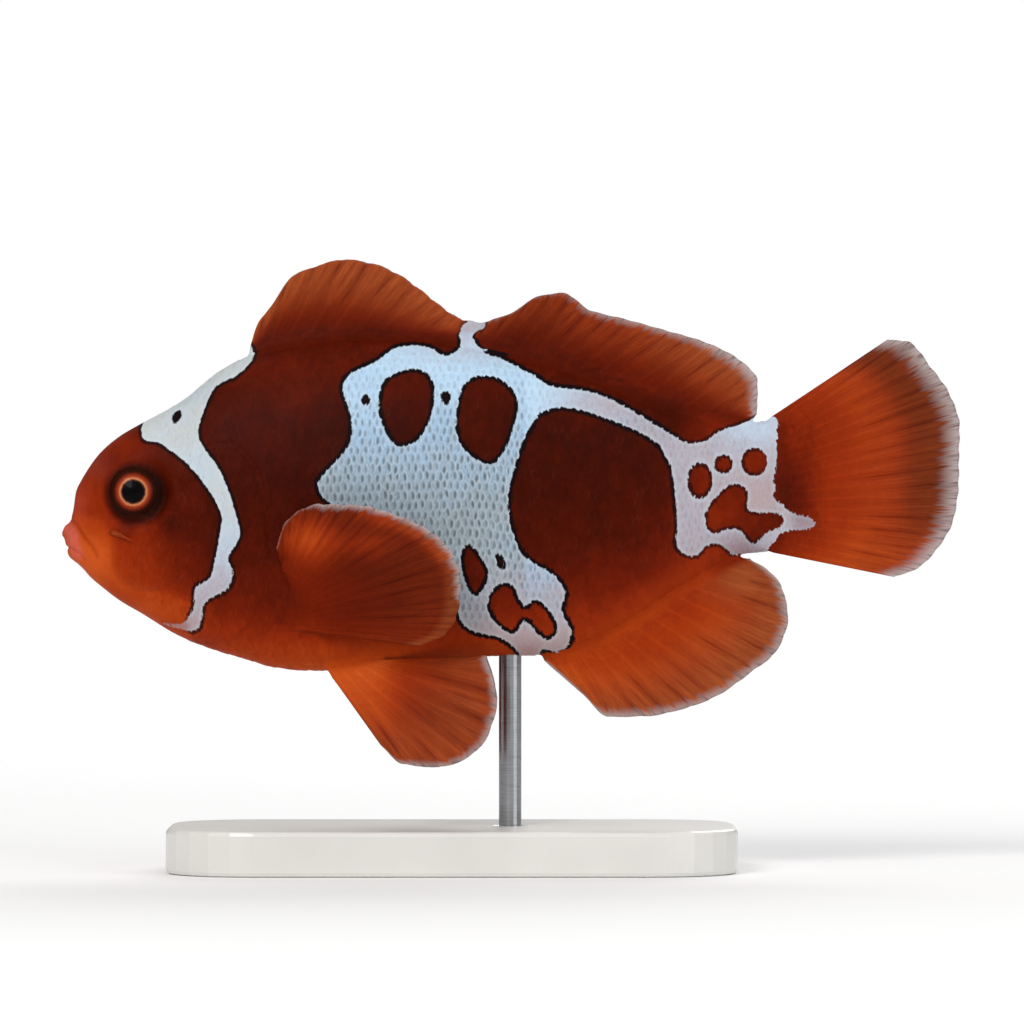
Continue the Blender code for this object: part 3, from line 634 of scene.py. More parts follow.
def ray_ridge(phase, reach):
    """1 on a fin ray, 0 on the web between; each soft ray forks on its way out."""
    off = np.abs(phase - np.floor(phase) - 0.5) * 2
    fork = FORK_SPREAD * ease(reach, FORK_FROM, FORK_TO)
    return hump(off - fork, RAY_WIDTH)


def fin_lines(shape, across):
    """Root, direction and length of a fin's rays at shares of its base."""
    rays = np.array(shape["rays"], float)
    roots, tips = rays[:, :3], rays[:, 3:]
    stride = 0.5 * (np.linalg.norm(np.diff(roots, axis=0), axis=1)
                    + np.linalg.norm(np.diff(tips, axis=0), axis=1))
    share = np.concatenate([[0.0], np.cumsum(stride)]) / stride.sum()
    lines = between(np.column_stack([share, rays]), across)
    root, ray = lines[..., :3], lines[..., 3:] - lines[..., :3]
    length = np.linalg.norm(ray, axis=-1)
    return root, ray / length[..., None], length


def fin_wave(shape, across, reach, length):
    """How far the fin waves out of its plane."""
    out = np.clip(reach, 0, 1)
    wave = shape["ripple"] * np.sin(4 * math.pi * across) * out ** 2
    return wave + 0.12 * np.sin(across * 47) * out ** 3 * ease(length, 3, 6)


def fin_half(shape, across, reach, length):
    """Half the fin's thickness: a web with rays, thickened where it leaves the body."""
    ridge = ray_ridge(across * shape["count"], reach) * ease(reach, 1.0, 0.75)
    ridge *= 0.35 + 0.65 * ease(reach, 0.0, 0.4)
    from_root = np.maximum(reach, 0) * length
    swelling = shape["flare"] * np.exp(-(from_root / shape["swell"]) ** 1.4)
    return MEMBRANE_HALF + RAY_RAISED * ridge + swelling


def fin_sheet(shape):
    """Middle sheet of a fin and what lies on it, as grids of columns by rows."""
    across = np.linspace(0.0, 1.0, shape["columns"])
    root, ray, length = fin_lines(shape, across)
    phase = across * shape["count"]
    web = 1 - np.abs(np.cos(math.pi * (phase - 0.5)))
    frayed = 0.10 * np.sin(across * 211) + 0.06 * np.sin(across * 397 + 1)
    ends = ease(across, 0.0, 0.03) * ease(across, 1.0, 0.97)
    lost = ends * shape["notch"] * np.clip(web + frayed, 0, 1.2)
    reduced = 1 - lost / np.maximum(length, 2)
    rows = np.linspace(0.0, 1.0, shape["rows"]) ** 0.92
    embedded = -np.minimum(FIN_EMBED, 0.45 * length + 0.5) / length
    reach = np.column_stack([embedded, reduced[:, None] * rows])
    across, length = across[:, None] + 0 * reach, length[:, None] + 0 * reach
    grid = root[:, None, :] + ray[:, None, :] * (reach * length)[:, :, None]
    grid[:, :, 2] += fin_wave(shape, across, reach, length)
    half = fin_half(shape, across, reach, length)
    normal = np.cross(np.gradient(grid, axis=0), np.gradient(grid, axis=1))
    normal /= np.linalg.norm(normal, axis=2, keepdims=True)
    values = dict(from_root=np.maximum(reach, 0) * length, ray=across * shape["count"],
                  reach=np.clip(reach, 0, 1),
                  edge=(reduced[:, None] - reach) * length / shape["fringe"] + shape["held"])
    return grid, normal, half, values


def fin_shell(shape, mirrored):
    """The closed mesh of one fin: points, faces and values on the points."""
    grid, normal, half, values = fin_sheet(shape)
    columns, rows = half.shape
    rounder = 1 - RIM_THINNED * (np.arange(rows) == rows - 1)
    out = normal * (half * rounder)[:, :, None]
    one, other = grid + out, grid - out
    if mirrored:
        one, other = other * [1, 1, -1], one * [1, 1, -1]
    count = columns * rows
    faces = [face[::-1] for face in shell(one, False)]
    faces += [[i + count for i in face] for face in shell(other, False)]
    number = np.arange(count).reshape(columns, rows)
    rim = np.concatenate([number[:, 0], number[-1, 1:], number[-2::-1, -1], number[0, -2:0:-1]])
    for a, b in zip(rim, np.roll(rim, -1)):
        faces.append([int(a), int(b), int(b) + count, int(a) + count])
    points = np.vstack([one.reshape(-1, 3), other.reshape(-1, 3)])
    flat = {name: np.tile(array.reshape(-1), 2) for name, array in values.items()}
    return points, faces, flat


def bare_object(name, points, faces):
    mesh = bpy.data.meshes.new(name)
    mesh.from_pydata(in_world(points).tolist(), [], faces)
    made = bpy.data.objects.new(name, mesh)
    bpy.context.scene.collection.objects.link(made)
    pick(made)
    bpy.ops.object.mode_set(mode="EDIT")
    bpy.ops.mesh.select_all(action="SELECT")
    bpy.ops.mesh.normals_make_consistent(inside=False)
    bpy.ops.object.mode_set(mode="OBJECT")
    return made


def volume(mesh):
    shape = bmesh.new()
    shape.from_mesh(mesh)
    inside = shape.calc_volume()
    shape.free()
    return inside


def unite(body, other):
    """Joins a fin to the body. A union that spoils the body is undone, and the fin is left loose."""
    spare = body.data.copy()
    step = body.modifiers.new("unite", "BOOLEAN")
    step.object = other
    step.operation = "UNION"
    step.solver = "EXACT"
    pick(body)
    bpy.ops.object.modifier_apply(modifier=step.name)
    if volume(body.data) > volume(spare):
        bpy.data.objects.remove(other, do_unlink=True)
        return True
    body.data = spare
    return False


def mesh_places(mesh):
    """Along, up, side of every point of a mesh."""
    flat = np.empty(len(mesh.vertices) * 3)
    mesh.vertices.foreach_get("co", flat)
    x, y, z = flat.reshape(-1, 3).T
    return np.stack([(x - LIP_X) / MM, z / MM - LIFT, -y / MM], axis=1)


FAR_FROM_EDGE = 9.0
JUNCTION_REACH = 1.5
JUNCTION_ROUNDS = 20
JUNCTION_PULL = 0.6                           # share of the way a point moves in a round
UNITED_GAP = 0.004                            # points further from both shapes lie on their seam


def search_tree(places):
    tree = KDTree(len(places))
    for i, place in enumerate(places):
        tree.insert(place, i)
    tree.balance()
    return tree


def soften_junctions(mesh, seam):
    """Rounds the crease where a fin leaves the body."""
    places = mesh_places(mesh)
    tree = search_tree(seam)
    gap = np.array([tree.find(place)[2] for place in places])
    weight = ease(gap, JUNCTION_REACH, 0.2)[:, None] * JUNCTION_PULL
    ends = np.empty(len(mesh.edges) * 2, int)
    mesh.edges.foreach_get("vertices", ends)
    a, b = ends.reshape(-1, 2).T
    count = np.bincount(ends, minlength=len(places))[:, None]
    for _ in range(JUNCTION_ROUNDS):
        total = np.zeros_like(places)
        np.add.at(total, a, places[b])
        np.add.at(total, b, places[a])
        places = places + weight * (total / np.maximum(count, 1) - places)
    mesh.vertices.foreach_set("co", in_world(places).reshape(-1))
    mesh.update()


def body_markings(places):
    """The markings, with what the fins' values are on the body."""
    blank = np.zeros(len(places))
    return dict(markings(*places.T), fin=blank, ray=blank, reach=blank, edge=blank + FAR_FROM_EDGE,
                tawny=blank)


def make_skin(look):
    points, faces = body_shell()
    body = bare_object("skin", points, faces)
    sources, values, loose = [points], [body_markings(points)], []
    for name, shape in FINS.items():
        for mirrored in (False, True) if name in PAIRED_FINS else (False,):
            points, faces, flat = fin_shell(shape, mirrored)
            fin = bare_object(name, points, faces)
            if not unite(body, fin):
                loose.append(fin)
            laid = fin_markings(name, points, **flat)
            if name == "pectoral":
                laid["edge"] = laid["edge"] + 3 * ease(points[:, 1], 23.5, 19.0)
                laid["edge"] += 0.75 * ease(points[:, 0], 36.0, 32.0)
            if name == "soft_dorsal":
                laid["edge"] = laid["edge"] - shape["held"] * ease(points[:, 0], 82, 90)
                laid["edge"] += 0.45 * ease(points[:, 0], 74, 66)
            sources.append(points)
            values.append(laid)
    if loose:
        pick(*loose, body)
        bpy.ops.object.join()

    tree = search_tree(np.vstack(sources))
    places = mesh_places(body.data)
    found = [tree.find(place) for place in places]
    nearest = np.array([f[1] for f in found])
    away = np.array([f[2] for f in found])
    laid = {name: np.concatenate([v[name] for v in values])[nearest] for name in LAID}
    soften_junctions(body.data, places[away > UNITED_GAP])
    body.data.materials.append(look)
    body.data.shade_smooth()
    paint(body.data, laid)
    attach(body, "root")
    return body


# ---------------------------------------------------------------- coat of scales

SCALE_PITCH = 0.94            # along the body, for a scale of full size
ROW_STEP = 1.25               # between rows; every other row is set back by half a pitch
SCALE_LENGTH = 1.75
SCALE_WIDTH = 2.10
SCALE_LIFT = 0.10             # its hind edge stands this far off the skin
SCALE_DOME = 0.020
SCALE_SINK = 0.03             # how deep its root lies in a fin
SHEATH_SIZE = 0.58            # size of the scales that run up a fin
SIZE_SPREAD, TURN_SPREAD, PLACE_SPREAD, LIFT_SPREAD = 0.05, 0.09, 0.07, 0.16  # how unevenly they lie
ROOT_SHARE = 0.08             # how far a scale's marking is its root's
TRUNK_SIZES = [(20.0, 0.72), (34.0, 1.0), (76.0, 1.0), (90.0, 0.80), (BODY_END, 0.60)]
HEAD_SIZES = [(6.0, 0.55), (22.0, 0.74), (30.0, 0.74)]
BAKE_PATCH = 0.003            # width of one scale's patch on the bake map
NAKED_FACE = [
    (-3.0, 54.0), (10.5, 50.0), (13.2, 45.0), (14.7, 41.0), (15.0, 35.0), (12.4, 32.2), (9.0, 31.4),
    (8.0, 29.0), (8.4, 25.4), (12.0, 22.4), (15.6, 20.0), (16.5, 15.0), (12.0, 10.0), (-3.0, 12.0),
]
PECTORAL_ROOT = [(29.7, 26.2), (30.6, 22.8), (32.0, 18.0)]
PELVIC_ROOT = [(35.0, 13.2), (42.4, 14.4)]
SHEATHS = {"spiny_dorsal": 1.9, "soft_dorsal": 4.2, "tail": 7.0, "anal": 3.6}


def one_scale():
    """A thin lens with a round hind edge, one unit long and wide: its points and faces."""
    turn = np.radians([-90, -60, -30, 0, 30, 60, 90])
    rear = np.stack([0.5 + 0.5 * np.cos(turn), 0.5 * np.sin(turn)], axis=1)
    rim = np.vstack([rear, [(0.07, 0.34), (0.0, 0.0), (0.07, -0.34)]])
    middle = np.array([[0.5, 0.0]])
    inner = middle + (rim - middle) * 0.60
    flat = np.vstack([rim, inner, middle, middle])
    count = len(rim)
    tilt = flat[:, 0] * SCALE_LIFT
    dome = np.concatenate([np.zeros(count), np.full(count, 0.8), [1.0], [-0.9]]) * SCALE_DOME
    edge = np.concatenate([np.clip(rim[:, 0] * 2.2 - 1.2, 0, 1), np.zeros(count), [0.0], [1.0]])
    faces = []
    for k in range(count):
        n = (k + 1) % count
        faces.append((2 * count, count + k, count + n))
        faces.append((count + k, k, n, count + n))
        faces.append((2 * count + 1, n, k))
    return flat, tilt + dome, edge, faces


def lattice(first, last, sizes, half_rows):
    """Places of the scales, along and round the body, with each one's size."""
    fine = np.linspace(first, last, 800)
    size = between(sizes, np.clip(fine, sizes[0][0], sizes[-1][0]))[:, 0]
    count = np.concatenate([[0.0], np.cumsum(np.diff(fine) / (SCALE_PITCH * size[1:]))])
    along, arc, scale = [], [], []
    for row in range(-half_rows, half_rows + 1):
        steps = np.arange(0.25 + 0.5 * (row % 2), count[-1])
        here = np.interp(steps, count, fine)
        here_size = np.interp(here, fine, size)
        along.append(here)
        arc.append(row * ROW_STEP * here_size)
        scale.append(here_size)
    return np.concatenate(along), np.concatenate(arc), np.concatenate(scale)


def clear_of_fins(along, arc):
    """True where a scale neither runs over the back or belly nor into a fin's root."""
    angle = angle_at(along, arc)
    place = bare_surface(along, angle)
    to_back = np.interp(along, CHART_ALONG, ARC_BACK) - arc
    to_belly = arc - np.interp(along, CHART_ALONG, ARC_BELLY)
    back_room = np.where((along > 24) & (along < 92), 0.85, 0.35)
    belly_room = np.where((along > 63) & (along < 92), 0.85, 0.30)
    clear = (to_back > back_room) & (to_belly > belly_room)
    clear &= distance_to(PECTORAL_ROOT, place[:, 0], place[:, 1]) > 0.75
    clear &= (distance_to(PELVIC_ROOT, place[:, 0], place[:, 1]) > 0.8) | (place[:, 2] > 4.6)
    return clear, place


def trunk_lattice():
    along, arc, size = lattice(21.0, 96.6, TRUNK_SIZES, 28)
    clear, place = clear_of_fins(along, arc)
    behind = depth_inside(GILL_COVER, place[:, 0], place[:, 1]) < -0.05
    keep = clear & behind
    return along[keep], arc[keep], size[keep]


def head_lattice():
    along, arc, size = lattice(7.0, 28.0, HEAD_SIZES, 36)
    clear, place = clear_of_fins(along, arc)
    cover = depth_inside(GILL_COVER, place[:, 0], place[:, 1])
    naked = depth_inside(NAKED_FACE, place[:, 0], place[:, 1])
    keep = clear & ((cover > -0.05) | (along < 21.4)) & (naked < 0.2)
    return along[keep], arc[keep], size[keep]


def lay_scales(name, look, roots, mapper, spread):
    """One mesh of scales. The mapper turns places on the flat lie of the skin into the body's own."""
    along, arc, size = roots
    flat, height, edge, shape_faces = one_scale()
    count, corners = len(along), len(flat)
    grow = size * (1 + SIZE_SPREAD * rng.standard_normal(count))
    turn = TURN_SPREAD * rng.standard_normal(count)
    along = along + PLACE_SPREAD * rng.standard_normal(count)
    arc = arc + PLACE_SPREAD * rng.standard_normal(count)
    lift = 1 + LIFT_SPREAD * rng.standard_normal(count)
    tone = rng.uniform(-1, 1, count)
    forward = (flat[None, :, 0] - 0.12) * SCALE_LENGTH * grow[:, None]
    across = flat[None, :, 1] * SCALE_WIDTH * grow[:, None]
    u = along[:, None] + forward * np.cos(turn)[:, None] - across * np.sin(turn)[:, None]
    v = arc[:, None] + forward * np.sin(turn)[:, None] + across * np.cos(turn)[:, None]
    raised = height[None, :] * (lift * np.sqrt(size))[:, None]
    places, flipped, laid = mapper(u.reshape(-1), v.reshape(-1), raised.reshape(-1))
    faces = []
    for face in shape_faces:
        face = face[::-1] if flipped else face
        faces.append((np.arange(count)[:, None] * corners + np.array(face)).tolist())
    faces = [face for same in zip(*faces) for face in same]
    piece = new_piece(name, places, faces, look)
    bar = laid["bar"].reshape(count, corners)
    laid["bar"] = (bar * (1 - ROOT_SHARE) + bar[:, -1:] * ROOT_SHARE).reshape(-1)
    laid["rim"] = np.tile(edge, count)
    laid["fore"] = np.tile(flat[:, 0], count)
    laid["beside"] = np.tile(flat[:, 1], count)
    laid["tone"] = np.repeat(tone, corners)
    paint(piece.data, laid)
    centre = np.stack(spread(along, arc), axis=1)
    patch = centre[:, None, :] + (flat[None] - [0.5, 0.0]) * BAKE_PATCH
    corner_points = np.empty(len(piece.data.loops), int)
    piece.data.loops.foreach_get("vertex_index", corner_points)
    bake_map = piece.data.uv_layers.new(name="OFBake")
    bake_map.data.foreach_set("uv", patch.reshape(-1, 2)[corner_points].reshape(-1))
    piece.data.set_sharp_from_angle(angle=math.radians(50))
    return piece


def body_mapper(mirrored):
    def mapper(along, arc, raised):
        places = surface(np.clip(along, 0, BODY_END), angle_at(along, arc), raised)
        if mirrored:
            places[:, 2] *= -1
        return places, mirrored, body_markings(places)
    return mapper


def body_spread(along, arc):
    """Place on the bake map of a place on the body's flat lie."""
    return 0.01 + along / BODY_END * 0.97, 0.5 + arc / 68


def fin_spread(out, over):
    return 0.02 + out / 12, 0.02 + over / 40


def fin_base_lattice(shape, height):
    """Small scales that run a little way up a fin."""
    across = np.linspace(0, 1, 200)
    root, _, length = fin_lines(shape, across)
    steps = np.linalg.norm(np.diff(root, axis=0), axis=1)
    base = np.concatenate([[0.0], np.cumsum(steps)])
    pitch, row_step = SCALE_PITCH * SHEATH_SIZE, ROW_STEP * SHEATH_SIZE
    out, over = [], []
    rows = int(base[-1] / row_step)
    for row in range(1, rows):
        start = 0.15 + pitch * 0.5 * (row % 2)
        top = height * ease(row / rows, 0.0, 0.2) * ease(row / rows, 1.0, 0.88)
        here = np.arange(start, max(top, 0.2), pitch)
        here = here[here < 0.5 * np.interp(row * row_step, base, length)]
        out.append(here)
        over.append(np.full(len(here), row * row_step))
    out, over = np.concatenate(out), np.concatenate(over)
    return out, over, SHEATH_SIZE * (1 - 0.45 * ease(out, 0.3 * height, height)), base, across


def fin_mapper(name, base, across_of_base, sign):
    shape = FINS[name]

    def mapper(out, over, raised):
        across = np.interp(over, base, across_of_base)
        root, ray, length = fin_lines(shape, across)
        reach = out / length
        places = root + ray * out[:, None]
        half = fin_half(shape, across, reach, length)
        places[:, 2] = fin_wave(shape, across, reach, length) + sign * (half - SCALE_SINK + raised * 0.75)
        laid = fin_markings(name, places, out, across * shape["count"], np.clip(reach, 0, 1),
                            np.full(len(out), FAR_FROM_EDGE))
        runs_backwards = name == "anal"
        return places, (sign > 0) != runs_backwards, laid
    return mapper


def make_coat(look):
    head, trunk = head_lattice(), trunk_lattice()
    for side, mirrored in (("left", False), ("right", True)):
        lay_scales(f"scales_trunk_{side}", look, trunk, body_mapper(mirrored), body_spread)
        lay_scales(f"scales_head_{side}", look, head, body_mapper(mirrored), body_spread)
    for name, height in SHEATHS.items():
        out, over, size, base, across = fin_base_lattice(FINS[name], height)
        for side, sign in (("left", 1), ("right", -1)):
            mapper = fin_mapper(name, base, across, sign)
            lay_scales(f"scales_{name}_fin_{side}", look, (out, over, size), mapper, fin_spread)


# ---------------------------------------------------------------- eyes and spines

LENS_BULGE, LENS_RADIUS = 0.06, 0.30          # shares of the eyeball's radius
SPINE_GIRTH, SPINE_POINT = 0.40, 0.05         # its radius at root and tip, in millimetres
SPINE_SWELL, SPINE_BEND = 0.25, 0.10          # stouter half way by a share, bent by millimetres


def make_eye(side, sign, look):
    """An eyeball whose lens bulges a little through the pupil."""
    low, high = (Vector(corner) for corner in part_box(f"eye_{side}"))
    centre, half = (low + high) / 2, (high - low) / 2
    bpy.ops.mesh.primitive_uv_sphere_add(segments=72, ring_count=48, radius=1.0, location=(0, 0, 0))
    eye = bpy.context.object
    eye.name = f"eye_{side}_ball"
    bpy.ops.object.mode_set(mode="EDIT")
    bpy.ops.mesh.select_all(action="SELECT")
    bpy.ops.transform.rotate(value=math.pi / 2, orient_axis="X", center_override=(0, 0, 0))
    bpy.ops.object.mode_set(mode="OBJECT")
    for v in eye.data.vertices:
        off = math.hypot(v.co.x, v.co.z)
        outer = v.co.y * sign < 0
        v.co.y *= EYE_FLATNESS + (LENS_BULGE * hump(off, LENS_RADIUS) if outer else 0.0)
    for v in eye.data.vertices:
        v.co = centre + Vector((v.co.x * half.x, v.co.y * half.y, v.co.z * half.z))
    eye.data.shade_smooth()
    eye.data.materials.append(look)
    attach(eye, "root")
    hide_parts(f"eye_{side}")


def make_spine(side, sign, look):
    """A cheek spine: a cone drawn out in steps and bent back along the cheek."""
    low, high = (Vector(corner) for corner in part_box(f"cheek_spine_{side}"))
    root = Vector((low.x + 0.5 * MM, high.y - 0.3 * MM if sign > 0 else low.y + 0.3 * MM,
                   high.z - 0.55 * MM))
    tip = Vector((high.x, low.y if sign > 0 else high.y, low.z + 0.12 * MM))
    tip.y += 0.12 * MM * sign
    axis = tip - root
    bpy.ops.mesh.primitive_cone_add(vertices=20, radius1=SPINE_GIRTH * MM, radius2=SPINE_POINT * MM,
                                    depth=axis.length, location=(0, 0, axis.length / 2))
    spine = bpy.context.object
    spine.name = f"cheek_spine_{side}_bone"
    bpy.ops.object.mode_set(mode="EDIT")
    bpy.ops.mesh.select_all(action="SELECT")
    bpy.ops.mesh.subdivide(number_cuts=7)
    bpy.ops.object.mode_set(mode="OBJECT")
    turn = axis.to_track_quat("Z", "Y").to_matrix()
    place = spine.location.copy()
    for v in spine.data.vertices:
        local = v.co + place
        share = local.z / axis.length
        girth = 1 + SPINE_SWELL * math.sin(math.pi * min(share, 1.0))
        local.x *= girth
        local.y *= girth
        bent = turn @ local
        bent.z += SPINE_BEND * MM * math.sin(math.pi * share)
        v.co = root + bent
    spine.location = (0, 0, 0)
    spine.data.shade_smooth()
    spine.data.materials.append(look)
    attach(spine, "root")
    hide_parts(f"cheek_spine_{side}")


# ---------------------------------------------------------------- materials

def paint_mix(*levels):
    """A display colour, 0 to 255 a channel, as the linear colour that nodes take."""
    linear = []
    for level in levels:
        c = level / 255
        linear.append(c / 12.92 if c < 0.04045 else ((c + 0.055) / 1.055) ** 2.4)
    return (*linear, 1.0)


class Wire:
    """A node's output, which takes part in sums and products as a number does."""

    def __init__(self, tree, socket):
        self.tree = tree
        self.socket = socket

    def __add__(self, other):
        return maths("ADD", self, other)

    def __sub__(self, other):
        return maths("SUBTRACT", self, other)

    def __mul__(self, other):
        return maths("MULTIPLY", self, other)


def connect(value, socket):
    if isinstance(value, Wire):
        value.tree.links.new(value.socket, socket)
    else:
        socket.default_value = value


def new_node(tree, kind, inputs, **settings):
    """Adds a node; its inputs, keyed by name or number, are numbers, colours or wires."""
    node = tree.nodes.new(kind)
    node.location = (210 * (len(tree.nodes) % 14), -230 * (len(tree.nodes) // 14))
    for name, value in settings.items():
        setattr(node, name, value)
    for key, value in inputs.items():
        connect(value, node.inputs[key])
    return node


def add(tree, kind, *inputs, output=0, **settings):
    """Adds a node with its first inputs given in order, and hands on one of its outputs."""
    return Wire(tree, new_node(tree, kind, dict(enumerate(inputs)), **settings).outputs[output])


def tree_of(*values):
    return next(value.tree for value in values if isinstance(value, Wire))


def maths(operation, *values):
    return add(tree_of(*values), "ShaderNodeMath", *values, operation=operation)


def vector_maths(operation, *values, output=0):
    return add(tree_of(*values), "ShaderNodeVectorMath", *values, operation=operation, output=output)


def length_of(arrow):
    return vector_maths("LENGTH", arrow, output="Value")


def vector(x, y):
    return add(tree_of(x, y), "ShaderNodeCombineXYZ", x, y)


def stretched(place, x, y, z):
    return vector_maths("MULTIPLY", place, (x, y, z))


def in_millimetres(place):
    return stretched(place, 1 / MM, 1 / MM, 1 / MM)


def eased(value, low, high, start=0.0, end=1.0, kind="SMOOTHSTEP"):
    """From start to end, smoothly, while the value goes from low to high."""
    return add(value.tree, "ShaderNodeMapRange", value, low, high, start, end, interpolation_type=kind)


def blended(share, one, other, blend="MIX"):
    tree = tree_of(share, one, other)
    node = new_node(tree, "ShaderNodeMix", {0: share, 6: one, 7: other}, data_type="RGBA", blend_type=blend)
    return Wire(tree, node.outputs[2])


def multiplied(colour, red, green, blue):
    """A colour with its channels multiplied."""
    tint = add(colour.tree, "ShaderNodeCombineColor", red, green, blue)
    return blended(1.0, colour, tint, "MULTIPLY")


def toned(value, stops):
    """A colour that follows the value through stops of value and colour."""
    low, high = stops[0][0], stops[-1][0]
    node = new_node(value.tree, "ShaderNodeValToRGB", {0: eased(value, low, high, kind="LINEAR")})
    keys = node.color_ramp.elements
    while len(keys) < len(stops):
        keys.new(0.5)
    for key, (at, colour) in zip(keys, stops):
        key.position = (at - low) / (high - low)
        key.color = colour
    return Wire(value.tree, node.outputs[0])


def speckle(place, scale, detail=2.0, roughness=0.5):
    """Noise centred on nothing, about -0.5 to 0.5."""
    inputs = dict(Vector=place, Scale=scale, Detail=detail, Roughness=roughness)
    return Wire(place.tree, new_node(place.tree, "ShaderNodeTexNoise", inputs).outputs[0]) - 0.5


def roughened(shader, height, strength, distance):
    """Bumps of a height, with the depth in millimetres, on a shader."""
    inputs = dict(Strength=strength, Distance=distance * MM, Height=height)
    connect(Wire(height.tree, new_node(height.tree, "ShaderNodeBump", inputs).outputs[0]), shader["Normal"])


def new_look(name):
    """An empty material, its Principled shader's inputs and the place on the object."""
    look = bpy.data.materials.new(name)
    look.use_nodes = True
    tree = look.node_tree
    place = add(tree, "ShaderNodeTexCoord", output="Object")
    return look, tree.nodes["Principled BSDF"].inputs, place


def colour_stops(*rows):
    return [(at, paint_mix(*levels)) for at, *levels in rows]


# Each stop: value, then a display colour
WARMTH_STOPS = colour_stops(
    (-0.30, 22, 8, 4), (0.00, 60, 11, 1), (0.15, 80, 16, 1), (0.35, 110, 26, 2), (0.60, 147, 43, 7),
    (0.80, 170, 60, 13), (1.00, 198, 82, 28))
# The white by its shade value: partly its own tone, partly painted shade from the light falling from above
SHADE_STOPS = colour_stops(
    (-0.5, 198, 204, 204), (0.0, 190, 220, 244), (0.5, 160, 190, 218), (1.0, 150, 162, 170))
# By millimetres from the pupil's middle
IRIS_STOPS = colour_stops(
    (0.00, 5, 4, 5), (1.40, 9, 6, 6), (1.56, 80, 38, 28), (1.70, 190, 118, 82), (1.84, 194, 116, 76),
    (2.00, 156, 64, 30), (2.20, 142, 44, 16), (2.42, 96, 28, 9), (2.66, 46, 15, 5), (3.60, 34, 11, 4))
OUTLINE = paint_mix(20, 8, 10)
ROSY = paint_mix(180, 160, 163)
LIP_PINK = paint_mix(208, 98, 84)
FRINGE = paint_mix(190, 179, 178)
FRINGE_SHADE = paint_mix(118, 94, 90)
TAWNY = paint_mix(152, 82, 44)
GLINT = paint_mix(176, 110, 96)
# painted shadow by each scale's free edge, on the white
POCKET_SHADOW = paint_mix(97, 109, 116)
# painted highlight on each scale's edge, on the white
SCALE_EDGE_HIGHLIGHT = paint_mix(218, 228, 234)
PATCH_EDGE = paint_mix(206, 220, 228)

LAID = ("bar", "warmth", "shade", "rose", "lips", "veil", "line", "fin", "ray", "reach", "edge", "tawny")
LAID_ON_SCALES = ("rim", "fore", "beside", "tone")


